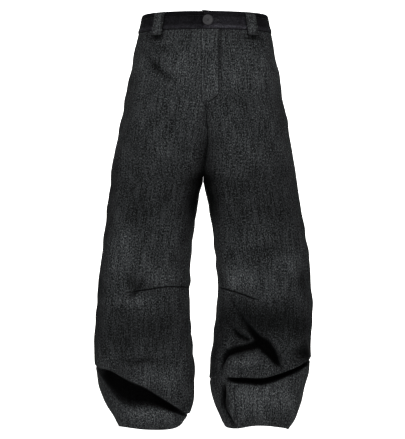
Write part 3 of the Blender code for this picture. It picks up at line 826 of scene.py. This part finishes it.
def ramp(tree, value, low, high):
    node = add_node(tree, "ShaderNodeMapRange", interpolation_type="SMOOTHSTEP")
    node.inputs["From Min"].default_value = low
    node.inputs["From Max"].default_value = high
    link(tree, value, node.inputs["Value"])
    return node.outputs["Result"]


def denim(name, dark, mid, fleck, fleck_share):
    """Raw twill: a slanting weave, slubs along the warp, pale flecks, and painted shade in the hollows."""
    material, tree, shader = new_nodes(name)
    uv = add_node(tree, "ShaderNodeUVMap", uv_map="cloth").outputs["UV"]
    apart = add_node(tree, "ShaderNodeSeparateXYZ")
    link(tree, uv, apart.inputs["Vector"])
    slant = maths(tree, "ADD", maths(tree, "MULTIPLY", apart.outputs["X"], TWILL_ACROSS),
                  maths(tree, "MULTIPLY", apart.outputs["Y"], TWILL_ALONG))
    twill = maths(tree, "MULTIPLY_ADD", maths(tree, "SINE", slant), 0.5, 0.5)
    yarn, mottle, slub, cloud = (stretched_noise(tree, uv, *marks) for marks in CLOTH_MARKS)
    tone = maths(tree, "ADD", maths(tree, "MULTIPLY", mottle, 0.6), maths(tree, "MULTIPLY", slub, 0.4))
    base = mix_colour(tree, ramp(tree, tone, 0.41, 0.60), dark, mid)
    speck = maths(tree, "MULTIPLY", ramp(tree, yarn, 0.45, 0.68), ramp(tree, mottle, 0.48, 0.64))
    speck = maths(tree, "MULTIPLY", speck, maths(tree, "MULTIPLY_ADD", twill, 0.5, 0.5))
    flecked = mix_colour(tree, maths(tree, "MULTIPLY", speck, fleck_share), base, fleck)
    cloudy = add_node(tree, "ShaderNodeMapRange")
    cloudy.inputs["To Min"].default_value = 1 - CLOUD_CHANGE
    cloudy.inputs["To Max"].default_value = 1 + CLOUD_CHANGE
    cloudy.inputs["From Min"].default_value = 0.3
    cloudy.inputs["From Max"].default_value = 0.7
    link(tree, cloud, cloudy.inputs["Value"])
    # Painted shade in hollows, along edges and on stitched lines, and painted light and shade with some
    # wash, multiply the cloth's colour
    hollow = add_node(tree, "ShaderNodeAttribute", attribute_name="hollow").outputs["Fac"]
    painted_light_and_tone = add_node(tree, "ShaderNodeAttribute", attribute_name="painted_light_and_tone").outputs["Fac"]
    shade = maths(tree, "SUBTRACT", 1.0, maths(tree, "MULTIPLY", hollow, HOLLOW_SHADE))
    shade = maths(tree, "MULTIPLY", shade, cloudy.outputs["Result"])
    shade = maths(tree, "MULTIPLY", shade, painted_light_and_tone)
    grey = add_node(tree, "ShaderNodeCombineColor")
    for socket in grey.inputs[:3]:
        link(tree, shade, socket)
    shaded = mix_colour(tree, 1.0, flecked, grey.outputs["Color"], "MULTIPLY")
    link(tree, shaded, shader.inputs["Base Color"])
    shader.inputs["Roughness"].default_value = CLOTH_ROUGHNESS
    shader.inputs["Specular IOR Level"].default_value = CLOTH_SPECULAR
    relief = maths(tree, "ADD", maths(tree, "MULTIPLY", twill, 0.35), maths(tree, "MULTIPLY", yarn, 0.9))
    bump = add_node(tree, "ShaderNodeBump")
    bump.inputs["Strength"].default_value = 0.55
    bump.inputs["Distance"].default_value = CLOTH_RELIEF
    link(tree, relief, bump.inputs["Height"])
    link(tree, bump.outputs["Normal"], shader.inputs["Normal"])
    return material


def plain_material(name, colour, roughness, grain, relief):
    """A material with fine grain in its tone and its relief."""
    material, tree, shader = new_nodes(name)
    place = add_node(tree, "ShaderNodeTexCoord").outputs["Object"]
    noise = add_node(tree, "ShaderNodeTexNoise")
    noise.inputs["Scale"].default_value = grain
    noise.inputs["Detail"].default_value = 3.0
    link(tree, place, noise.inputs["Vector"])
    lighter = tuple(min(1.0, c * 1.45) for c in colour)
    darker = tuple(c * 0.7 for c in colour)
    tone = mix_colour(tree, ramp(tree, noise.outputs["Fac"], 0.3, 0.7), darker, lighter)
    link(tree, tone, shader.inputs["Base Color"])
    shader.inputs["Roughness"].default_value = roughness
    shader.inputs["Specular IOR Level"].default_value = PLAIN_SPECULAR
    bump = add_node(tree, "ShaderNodeBump")
    bump.inputs["Strength"].default_value = 0.4
    bump.inputs["Distance"].default_value = relief
    link(tree, noise.outputs["Fac"], bump.inputs["Height"])
    link(tree, bump.outputs["Normal"], shader.inputs["Normal"])
    return material


def cloth_coordinates(points):
    """How far each point of a grid lies across and along the cloth, in metres."""
    across = np.cumsum(np.linalg.norm(np.diff(points, axis=1), axis=-1), axis=1)
    across = np.hstack([np.zeros((len(points), 1)), across])
    across -= across[:, points.shape[1] // 2][:, None]
    along = np.cumsum(np.linalg.norm(np.diff(points, axis=0), axis=-1), axis=0)
    along = -np.vstack([np.zeros((1, points.shape[1])), along])
    return np.stack([across, along], axis=-1) * MM


def add_wall(name, outer, inner, material, hollow=None, painted_light_and_tone=None, shift=(0.0, 0.0)):
    """A closed wall between two grids of points, with cloth coordinates, painted shade and painted light
    and tone.
    """
    rows, columns = outer.shape[:2]
    count = rows * columns
    points = np.concatenate([outer.reshape(-1, 3), inner.reshape(-1, 3)]) * MM
    index = np.arange(count).reshape(rows, columns)
    corners = [index[:-1, :-1], index[:-1, 1:], index[1:, 1:], index[1:, :-1]]
    quads = np.stack(corners, axis=-1).reshape(-1, 4)
    rim = np.concatenate([index[0], index[1:, -1], index[-1, -2::-1], index[-2:0:-1, 0]])
    after = np.roll(rim, -1)
    sides = np.stack([rim, rim + count, after + count, after], axis=-1)
    faces = np.concatenate([quads, quads[:, ::-1] + count, sides])
    mesh = bpy.data.meshes.new(name)
    mesh.from_pydata(points.tolist(), [], faces.tolist())
    flat = cloth_coordinates(outer).reshape(-1, 2) + np.array(shift)
    flat = np.concatenate([flat, flat])
    corner = np.empty(len(mesh.loops), int)
    mesh.loops.foreach_get("vertex_index", corner)
    layer = mesh.uv_layers.new(name="cloth")
    layer.data.foreach_set("uv", flat[corner].ravel())
    for key, values, default in (("hollow", hollow, 0.0), ("painted_light_and_tone", painted_light_and_tone, 1.0)):
        one = np.full(count, default) if values is None else np.asarray(values, float).reshape(-1)
        attribute = mesh.attributes.new(key, "FLOAT", "POINT")
        attribute.data.foreach_set("value", np.concatenate([one, one]))
    shell = bmesh.new()
    shell.from_mesh(mesh)
    bmesh.ops.recalc_face_normals(shell, faces=shell.faces)
    shell.to_mesh(mesh)
    shell.free()
    mesh.shade_smooth()
    mesh.set_sharp_from_angle(angle=math.radians(70))
    mesh.materials.append(material)
    thing = bpy.data.objects.new(name, mesh)
    bpy.context.scene.collection.objects.link(thing)
    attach(thing, "root")
    return thing


def add_half(side, cloth):
    """The front, the yoke and the back of one half."""
    turn, height, yoke_row, seam = half_grid(side)
    outer, dark = surface(side, turn, height, with_painted_shade=True)
    # The patches' painted light and shade, partly wash, go into the cloth's colour
    tone = painted_light_and_wash(side, turn, height)
    normals = grid_normals(side, outer, height)
    wall = np.full((len(height), 1, 1), WALL)
    wall[-HEM_ROWS:] = HEM_WALL
    last = turn.shape[1] - 1
    name = SIDE_NAMES[side]
    pieces = {
        "front": (slice(0, None), slice(0, seam + 1), True, False),
        "yoke": (slice(0, yoke_row + 1), slice(seam, last + 1), True, True),
        "back": (slice(yoke_row, None), slice(seam, last + 1), True, False),
    }
    made = {}
    for order, (piece, (rows, columns, top, bottom)) in enumerate(pieces.items()):
        skin = roll_edges(outer[rows, columns], normals[rows, columns], top, bottom)
        inner = skin - wall[rows] * normals[rows, columns]
        skin = pull_back(skin, piece == "back")
        inner = pull_back(inner, piece == "back")
        if piece != "back":
            inner[0, :, 2] = BAND_BOTTOM
        thing = add_wall(name + "_" + piece, skin, inner, cloth, hollow=dark[rows, columns],
                         painted_light_and_tone=tone[rows, columns], shift=(0.7 * order + 1.9 * side, 0.0))
        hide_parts(piece + "_" + name)
        made[piece] = thing
    return made


def pull_back(points, lower_top):
    """Leave the seam's gap beside a panel's side edges, and its top edge below a yoke."""
    moved = points.copy()
    for edge, inner in ((0, 1), (-1, -2)):
        way = points[:, inner] - points[:, edge]
        length = np.maximum(np.linalg.norm(way, axis=-1, keepdims=True), 1e-9)
        moved[:, edge] += SEAM_GAP / 2 * way / length
    if lower_top:
        way = points[1] - points[0]
        moved[0] += SEAM_GAP * way / np.linalg.norm(way, axis=-1, keepdims=True)
    return moved


def band_frame(turn, height):
    """Places on the waistband's face, and its level outward directions."""
    turn, height = np.broadcast_arrays(np.asarray(turn, float), np.asarray(height, float))
    place = np.empty(turn.shape + (3,))
    way = np.empty_like(place)
    for side, here in ((RIGHT, turn < 0), (LEFT, turn >= 0)):
        place[here] = surface(side, np.abs(turn[here]), height[here])
        way[here] = outward(side, np.abs(turn[here]), height[here])
    way[..., 2] = 0.0
    way /= np.linalg.norm(way, axis=-1, keepdims=True)
    return place + BAND_PROUD * way, way


def band_point(turn, height, out):
    place, way = band_frame(turn, height)
    return place + np.asarray(out)[..., None] * way


def band_turn(x):
    side = LEFT if x >= 0 else RIGHT
    return side * float(turn_at(side, x, 0.0))


def wrapped(turn):
    return (turn + 180.0) % 360.0 - 180.0


def add_waistband(cloth):
    """One padded strip right round the waist, its under end behind its outer end."""
    start = band_turn(BAND_OUTER_END)
    tuck_start = 360.0 + band_turn(BAND_UNDER_START)
    tuck_end = 360.0 + start
    end = 360.0 + band_turn(BAND_UNDER_END)
    turns = np.concatenate([
        start + np.array([0.0, 0.15, 0.4]),
        np.linspace(start + 0.8, tuck_start, BAND_STEPS),
        np.linspace(tuck_start, end, 40)[1:],
    ])
    levels = np.array(BAND_PROFILE)[:, None]
    share = (levels[..., 0] - BAND_BOTTOM) / (BAND_TOP - BAND_BOTTOM)
    tuck = ease((turns - tuck_start) / (tuck_end - tuck_start - 1.0))
    end_roll = 0.8 * np.exp(-((turns - start) / 0.35) ** 2)
    out = -tuck * (BAND_WALL + SEAM_GAP + 0.9)
    low, low_way = band_frame(wrapped(turns), BAND_BOTTOM)
    high, high_way = band_frame(wrapped(turns), BAND_TOP)
    place = low + (high - low) * share[..., None]
    way = low_way + (high_way - low_way) * share[..., None]
    wave = 0.35 * np.sin(np.radians(turns) * 19) + 0.25 * np.sin(np.radians(turns) * 43 + 1)
    relief = levels[..., 1] * (1 - tuck) + wave * np.sin(math.pi * share)
    outer = place + (out + relief - end_roll)[..., None] * way
    inner = place + (out - BAND_WALL + 0.2 * np.minimum(0.0, relief))[..., None] * way
    rise = BAND_END_RISE * np.exp(-((turns - start) / 6.0) ** 2) * ease(share * 1.4 - 0.4) * (1 - tuck)
    outer[..., 2] += rise
    inner[..., 2] += rise
    # Lighter near the band's outer end; across its height, painted light and shade follow its ridges and
    # grooves
    painted_light_and_tone = 1.0 + BAND_LIGHTER * ease((turns - start) / 4.0) * ease((BAND_LIGHT_END - turns) / 8.0)
    painted_light_and_tone = painted_light_and_tone * np.interp(levels[..., 0], BAND_PAINTED_SHADING_HEIGHTS, BAND_PAINTED_SHADING)
    thing = add_wall("waist_strip", outer[::-1], inner[::-1], cloth, painted_light_and_tone=painted_light_and_tone[::-1],
                     shift=(0.3, 5.0))
    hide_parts("waistband")
    return thing


def front_place(x, height):
    """Places on the fronts by their x, and the outward directions."""
    x, height = np.broadcast_arrays(np.asarray(x, float), np.asarray(height, float))
    place = np.empty(x.shape + (3,))
    way = np.empty_like(place)
    beyond = x >= section_value("middle", height)
    for side, here in ((RIGHT, ~beyond), (LEFT, beyond)):
        turn = turn_at(side, x[here], height[here])
        place[here] = surface(side, turn, height[here])
        way[here] = outward(side, turn, height[here])
    return place, way


def fly_width(height):
    """How far the fly reaches across from its free edge."""
    share = np.maximum(0.0, (FLY_STRAIGHT_END - height) / (FLY_STRAIGHT_END - FLY_FOOT))
    return FLY_WIDTH * np.sqrt(np.maximum(0.0, 1 - share ** 2))


def add_fly(cloth):
    """The layer over the zip. Its free edge stands proud and its stitched edge sinks into the front."""
    straight = np.linspace(BAND_BOTTOM - SEAM_GAP, FLY_STRAIGHT_END, 40)
    bend = np.sin(np.radians(np.linspace(4, 84, 18)))
    rounded = FLY_STRAIGHT_END + (FLY_FOOT - FLY_STRAIGHT_END) * bend
    height = np.concatenate([straight, rounded])[:, None]
    share = shares(FLY_COLUMNS, True, False)
    width = fly_width(height)
    place, way = front_place(FLY_EDGE + width * share, height)
    edge_roll = 0.5 * np.exp(-(share * width) ** 2)
    thin = ease((1 - share) * width / 9.0) * ease((height - FLY_FOOT) / 8.0)
    wall = np.maximum(0.15, 0.25 + (FLY_WALL + 0.5) * thin - edge_roll)
    outer = place + (SEAM_GAP + wall)[..., None] * way
    inner = place + SEAM_GAP * 0.6 * way
    inset = (1 - share) * width
    # Painted shadow along the fly's free edge, and painted shade in the grooves of its two stitched lines
    dark = 0.85 * np.exp(-(share * width / 1.1) ** 2) * np.ones_like(height)
    for line in FLY_STITCH_INSET:
        dark = np.maximum(dark, 0.95 * np.exp(-((inset - line) / 1.7) ** 2))
    # The fly is lighter all over, with a painted highlight along its raised edge
    painted_light_and_tone = 1.38 + 0.7 * np.exp(-((share * width - 3.2) / 1.3) ** 2) * np.ones_like(height)
    thing = add_wall("fly_layer", outer, inner, cloth, hollow=dark, painted_light_and_tone=painted_light_and_tone, shift=(-0.9, 0.0))
    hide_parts("fly")
    return thing


def loop_half_turn(turn):
    middle = band_point(turn, 0.0, 0.0)
    nearby = band_point(turn + 1.0 if turn < 180.0 else turn - 1.0, 0.0, 0.0)
    return LOOP_WIDTH / 2 / np.linalg.norm(nearby - middle)


def loop_place(turn, half_turn, across, height, out):
    """A place on a belt loop: across from -1 to 1, out from its underside."""
    bulge = spline([r.height for r in LOOP_ROWS], [r.bulge for r in LOOP_ROWS], height)
    off = SEAM_GAP + 0.15 + LOOP_BULGE * bulge
    off = off - BAND_PROUD * bulge * ease((BAND_BOTTOM + 3 - height) / 6.0)
    padded = LOOP_PAD * ease((height - BAND_BOTTOM + 2) / 8.0)
    return band_point(wrapped(turn + half_turn * across), height, off + padded * (1 - bulge * 0.4) + out)


def add_loop(name, turn, cloth):
    """A doubled strip of cloth over the waistband, with a rounded face."""
    half_turn = loop_half_turn(turn)
    across = np.array([-1.0, -0.97, -0.9, -0.8, -0.72, -0.66, -0.5, -0.25, 0, 0.25, 0.5, 0.66, 0.72, 0.8,
                       0.9, 0.97, 1.0])
    relief = np.array([-0.9, -0.3, 0.1, 0.15, -0.15, 0.1, 0.2, 0.25, 0.25, 0.25, 0.2, 0.1, -0.15, 0.15,
                       0.1, -0.3, -0.9])
    height = np.linspace(LOOP_TOP, LOOP_FOOT, 40)[:, None]
    tuck = 0.7 * np.exp(-(np.minimum(LOOP_TOP - height, height - LOOP_FOOT) / 1.2) ** 2)
    outer = loop_place(turn, half_turn, across, height, LOOP_WALL + relief - tuck)
    inner = loop_place(turn, half_turn, across, height, 0.0)
    # Painted shadow along the loop's edges and under its foot, and painted shade along its stitched lines
    dark = np.exp(-((1 - np.abs(across)) / 0.12) ** 2) + np.exp(-((height - LOOP_FOOT) / 3.0) ** 2)
    dark = np.minimum(0.95, dark + 0.6 * np.exp(-((np.abs(across) - 0.7) / 0.05) ** 2))
    thing = add_wall("strap_" + name[5:], outer, inner, cloth, hollow=dark,
                     painted_light_and_tone=LOOP_TONE * np.ones_like(dark), shift=(2.0 + turn * 0.01, 3.0))
    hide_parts(name)
    return thing


def stitch_mesh(mesh, start, end, way, radius):
    """One stitch: a thin lozenge that dips at both ends."""
    along = end - start
    length = np.linalg.norm(along)
    along = along / length
    across = np.cross(along, way)
    across /= np.linalg.norm(across)
    rings = ((0.0, 0.25, -0.5), (0.18, 0.9, 0.1), (0.5, 1.0, 0.35), (0.82, 0.9, 0.1), (1.0, 0.25, -0.5))
    loops = []
    for share, size, lift in rings:
        centre = start + along * length * share + way * radius * lift
        ring = []
        for step in range(6):
            angle = math.tau * step / 6
            spot = centre + radius * size * (math.cos(angle) * across + math.sin(angle) * way)
            ring.append(mesh.verts.new(spot * MM))
        loops.append(ring)
    for first, second in zip(loops, loops[1:]):
        for step in range(6):
            after = (step + 1) % 6
            mesh.faces.new((first[step], second[step], second[after], first[after]))
    mesh.faces.new(loops[0])
    mesh.faces.new(loops[-1][::-1])


def sew(mesh, places, ways, length=STITCH_LENGTH, gap=STITCH_GAP, radius=STITCH_RADIUS):
    """Stitches one after another along a line of places."""
    places = np.asarray(places, float)
    ways = np.asarray(ways, float)
    distance = np.concatenate([[0.0], np.cumsum(np.linalg.norm(np.diff(places, axis=0), axis=-1))])
    count = max(1, int((distance[-1] + gap) / (length + gap)))
    pitch = (distance[-1] + gap) / count
    for step in range(count):
        at = (step * pitch, step * pitch + pitch - gap)
        ends = [np.array([np.interp(a, distance, places[:, k]) for k in range(3)]) for a in at]
        middle = (at[0] + at[1]) / 2
        way = np.array([np.interp(middle, distance, ways[:, k]) for k in range(3)])
        way /= np.linalg.norm(way)
        stitch_mesh(mesh, ends[0], ends[1], way, radius)


def finish_sewing(name, mesh, thread):
    bmesh.ops.recalc_face_normals(mesh, faces=mesh.faces)
    data = bpy.data.meshes.new(name)
    mesh.to_mesh(data)
    mesh.free()
    data.shade_smooth()
    data.materials.append(thread)
    thing = bpy.data.objects.new(name, data)
    bpy.context.scene.collection.objects.link(thing)
    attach(thing, "root")
    return thing


def line_on(side, turns, heights, out=0.3):
    """Places and outward directions along a line on a half."""
    turns = np.asarray(turns, float)
    heights = np.asarray(heights, float)
    ways = outward(side, turns, heights)
    return surface(side, turns, heights) + out * ways, ways


def sew_fly(thread):
    """The double stitched line that rounds to the fly's foot, and its bartack."""
    mesh = bmesh.new()
    for inset in FLY_STITCH_INSET:
        corner = FLY_WIDTH - inset
        drop = FLY_STRAIGHT_END - FLY_FOOT - inset
        route = [(FLY_EDGE + corner, z) for z in np.linspace(BAND_BOTTOM - 1, FLY_STRAIGHT_END, 60)]
        for angle in np.radians(np.linspace(3, 80, 30)):
            x = FLY_EDGE + corner * math.cos(angle)
            route.append((x, FLY_STRAIGHT_END - drop * math.sin(angle)))
        x, z = np.array(route).T
        place, way = front_place(x, z)
        thin = ease((FLY_EDGE + fly_width(z) - x) / 9.0)
        sew(mesh, place + (0.75 + (FLY_WALL + 0.5) * thin)[:, None] * way, way, length=2.6, gap=0.7)
    for step in range(9):
        place, way = front_place(np.array([-4.5, 1.5]), FLY_FOOT + 2.5 - step * 1.1)
        sew(mesh, place + 0.9 * way, way, length=5.6, gap=0.4, radius=0.4)
    return finish_sewing("fly_stitches", mesh, thread)


def sew_seams(thread):
    """Topstitching beside the yokes and the centre back, above each hem, and on the darts."""
    mesh = bmesh.new()
    for side in (RIGHT, LEFT):
        share = np.linspace(0.01, 0.985, 90)
        for offset in (2.6, 8.4):
            dip = YOKE_CENTRE_DIP
            end = 270.0 - (90.0 + meeting_turn(side, YOKE_SIDE - dip))
            turns = 90.0 + (end - 90.0) * share
            heights = YOKE_SIDE - dip * share + offset
            sew(mesh, *line_on(side, turns, heights))
        for offset in (2.6, 8.4):
            heights = np.linspace(YOKE_SIDE - YOKE_CENTRE_DIP - 3, -352.0, 90)
            turns = 180.0 - meeting_turn(side, heights)
            axis, width, _, _ = tube(side, heights)
            middle = section_value("middle", heights)
            reach = (side * (axis - middle) - offset) / width
            turns = 180.0 + np.degrees(np.arcsin(np.clip(reach, 0, 1) ** (SQUARENESS / 2)))
            if side == LEFT:
                sew(mesh, *line_on(side, turns, heights))
        turns = np.linspace(-89, 269, 420)
        sew(mesh, *line_on(side, turns, np.full_like(turns, HEM + HEM_STITCH_HEIGHT)))
        turns = np.linspace(-88.0, DART_ENDS[side] - 5.0, 120)
        line = line_on(side, turns, dart_height(side, turns) - 3.2, out=0.15)
        sew(mesh, *line, length=2.6, gap=0.8, radius=0.26)
    return finish_sewing("seam_stitches", mesh, thread)


def sew_band(thread):
    """Stitching along both edges of the waistband, on its outer end and on the belt loops."""
    mesh = bmesh.new()
    start = band_turn(BAND_OUTER_END) + 0.7
    end = 360.0 + band_turn(BAND_UNDER_START) + 9.0
    turns = np.linspace(start, end, 500)
    for height, out in ((-20.6, 0.7), (10.2, 0.2)):
        place, way = band_frame(wrapped(turns), height)
        sew(mesh, place + out * way, way)
    place, way = band_frame(start + 0.9, np.linspace(-19.5, 19.5, 30))
    sew(mesh, place + way, way)
    for turn in LOOP_TURNS.values():
        half_turn = loop_half_turn(turn)
        _, way = band_frame(wrapped(turn), 0.0)
        edge = 1 - LOOP_STITCH_INSET / (LOOP_WIDTH / 2)
        for across in (-edge, edge):
            heights = np.linspace(LOOP_TOP - 1.5, LOOP_FOOT + 1.5, 40)
            places = loop_place(turn, half_turn, across, heights, LOOP_WALL + 0.1)
            sew(mesh, places, [way] * len(places), length=2.5, gap=0.8, radius=0.3)
        for height in (LOOP_TOP - 3.0, LOOP_FOOT + 3.0):
            for step in range(3):
                z = height + (step - 1) * 0.9
                places = loop_place(turn, half_turn, np.linspace(-0.85, 0.85, 12), z, LOOP_WALL + 0.35)
                sew(mesh, places, [way] * len(places), length=4.0, gap=0.2, radius=0.34)
    return finish_sewing("band_stitches", mesh, thread)


def button_placing():
    turn = band_turn(BUTTON_X)
    facing = Vector(outward(LEFT, turn, BUTTON_HEIGHT))
    place, _ = band_frame(turn, BUTTON_HEIGHT)
    seat = Vector(place) + facing * (BUTTON_CLEARANCE + 0.9 + BUTTON_THICKNESS / 2)
    return Matrix.Translation(seat * MM) @ facing.to_track_quat("Z", "Y").to_matrix().to_4x4()


def add_button(plastic, thread):
    """A dished four-hole button with a rolled rim, sewn on with crossed thread."""
    half = BUTTON_THICKNESS / 2
    shape = bmesh.new()
    points = [shape.verts.new((radius * MM, 0.0, height * MM)) for radius, height in BUTTON_PROFILE]
    edges = [shape.edges.new(pair) for pair in zip(points, points[1:])]
    bmesh.ops.spin(shape, geom=points + edges, cent=(0, 0, 0), axis=(0, 0, 1),
                   angle=math.tau, steps=BUTTON_SIDES, use_merge=True)
    bmesh.ops.remove_doubles(shape, verts=shape.verts, dist=0.00001)
    bmesh.ops.recalc_face_normals(shape, faces=shape.faces)
    mesh = bpy.data.meshes.new("button_face")
    shape.to_mesh(mesh)
    shape.free()
    button = bpy.data.objects.new("button_face", mesh)
    bpy.context.scene.collection.objects.link(button)

    drills = bmesh.new()
    for across in (-1, 1):
        for along in (-1, 1):
            offset = BUTTON_HOLE_OFFSET * MM
            place = Matrix.Translation((across * offset, along * offset, 0))
            bmesh.ops.create_cone(drills, cap_ends=True, segments=16, radius1=BUTTON_HOLE_RADIUS * MM,
                                  radius2=BUTTON_HOLE_RADIUS * MM, depth=4 * BUTTON_THICKNESS * MM,
                                  matrix=place)
    drill_mesh = bpy.data.meshes.new("button_drills")
    drills.to_mesh(drill_mesh)
    drills.free()
    drill = bpy.data.objects.new("button_drills", drill_mesh)
    bpy.context.scene.collection.objects.link(drill)
    cut = button.modifiers.new("holes", "BOOLEAN")
    cut.operation = "DIFFERENCE"
    cut.object = drill
    bpy.context.view_layer.update()
    solid = bpy.data.meshes.new_from_object(button.evaluated_get(bpy.context.evaluated_depsgraph_get()))
    button.modifiers.clear()
    bpy.data.objects.remove(drill, do_unlink=True)
    placing = button_placing()
    solid.transform(placing)
    solid.materials.clear()
    solid.materials.append(plastic)
    solid.shade_smooth()
    solid.set_sharp_from_angle(angle=math.radians(40))
    button.data = solid
    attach(button, "root")
    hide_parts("button")

    strands = bmesh.new()
    offset = BUTTON_HOLE_OFFSET
    for start, end in (((-1, -1), (1, 1)), ((-1, 1), (1, -1))):
        for spread in (-0.35, 0.35):
            first = np.array([start[0] * offset + spread, start[1] * offset - spread, half - 1.05])
            second = np.array([end[0] * offset + spread, end[1] * offset - spread, half - 1.05])
            stitch_mesh(strands, first, second, np.array([0.0, 0.0, 1.0]), 0.42)
    for vertex in strands.verts:
        vertex.co = placing @ vertex.co
    finish_sewing("button_thread", strands, thread)
    return button


def add_buttonhole(thread):
    """The worked buttonhole beside the button: a dark slit in a rim of close stitches."""
    mesh = bmesh.new()
    length = 17.0
    middle = BUTTON_X + BUTTON_RADIUS + 4.0
    rim = []
    for angle in np.linspace(0, math.tau, 60, endpoint=False):
        rim.append((middle + length / 2 * math.cos(angle), BUTTON_HEIGHT + 1.5 * math.sin(angle)))
    for x, z in rim:
        turn = band_turn(x)
        place, way = band_frame(turn, z)
        out = np.array([x - middle, 0.0, (z - BUTTON_HEIGHT) * 6.0])
        out /= np.linalg.norm(out)
        out = out - way * out.dot(way)
        first = place + 0.75 * way
        sew(mesh, [first, first + 2.1 * out], [way, way], length=2.0, gap=0.1, radius=0.42)
    return finish_sewing("buttonhole", mesh, thread)


def light(name, place, aim, width, height, power):
    data = bpy.data.lights.new(name, "AREA")
    data.shape = "RECTANGLE"
    data.size = width
    data.size_y = height
    data.energy = power
    lamp = bpy.data.objects.new(name, data)
    lamp.location = place
    lamp.rotation_euler = (Vector(aim) - Vector(place)).to_track_quat("-Z", "Y").to_euler()
    bpy.context.scene.collection.objects.link(lamp)


def add_stage():
    """A pale floor that curves up into a backdrop, soft lights and the photograph's camera."""
    floor = HEM * MM - FLOOR_BELOW_HEM
    bend_y = FLOOR_END - BACKDROP_BEND
    bend_z = floor + BACKDROP_BEND
    outline = [(-FLOOR_END, floor)]
    for angle in np.radians(np.linspace(0, 90, 14)):
        outline.append((bend_y + BACKDROP_BEND * math.sin(angle), bend_z - BACKDROP_BEND * math.cos(angle)))
    outline.append((FLOOR_END, BACKDROP_TOP))
    points = [(x, y, z) for x in (-FLOOR_SIDE, FLOOR_SIDE) for y, z in outline]
    count = len(outline)
    faces = [(i, i + count, i + 1 + count, i + 1) for i in range(count - 1)]
    mesh = bpy.data.meshes.new("floor")
    mesh.from_pydata(points, [], faces)
    mesh.shade_smooth()
    pale, _, shader = new_nodes("floor_pale")
    shader.inputs["Base Color"].default_value = (*PALE, 1.0)
    shader.inputs["Emission Color"].default_value = (1.0, 1.0, 1.0, 1.0)
    shader.inputs["Emission Strength"].default_value = 1.0
    shader.inputs["Roughness"].default_value = 0.9
    mesh.materials.append(pale)
    ground = bpy.data.objects.new("floor", mesh)
    bpy.context.scene.collection.objects.link(ground)

    world = bpy.data.worlds.new("studio")
    bpy.context.scene.world = world
    world.use_nodes = True
    sky = world.node_tree.nodes["Background"]
    sky.inputs["Color"].default_value = (1.0, 1.0, 1.0, 1.0)
    sky.inputs["Strength"].default_value = SKY_STRENGTH
    for name, settings in LIGHTS.items():
        light(name, *settings)
    bpy.context.scene.view_settings.view_transform = "Standard"

    camera_data = bpy.data.cameras.new("camera")
    camera_data.sensor_width = SENSOR
    camera_data.sensor_fit = "AUTO"
    camera_data.lens = SENSOR * CAMERA_DISTANCE / (PHOTO_HEIGHT * PIXEL)
    camera = bpy.data.objects.new("camera", camera_data)
    camera.location = (CAMERA_X, -CAMERA_DISTANCE, CAMERA_Z)
    camera.rotation_euler = (math.pi / 2, 0.0, 0.0)
    bpy.context.scene.collection.objects.link(camera)
    bpy.context.scene.camera = camera


def build():
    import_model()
    add_stage()
    cloth = denim("denim", DENIM_DARK, DENIM_MID, DENIM_FLECK, FLECK_SHARE)
    band_cloth = denim("band_denim", BAND_DARK, BAND_MID, BAND_FLECK, BAND_FLECK_SHARE)
    thread = plain_material("thread", THREAD, 0.8, 2500.0, 0.0001)
    plastic = plain_material("button_plastic", BUTTON_GREY, 0.55, 260.0, 0.00008)
    panels = {side: add_half(side, cloth) for side in (RIGHT, LEFT)}
    band = add_waistband(band_cloth)
    fly = add_fly(cloth)
    straps = [add_loop(name, turn, cloth) for name, turn in LOOP_TURNS.items()]
    add_button(plastic, thread)
    add_buttonhole(thread)
    sew_fly(thread)
    sew_seams(thread)
    sew_band(thread)


build()
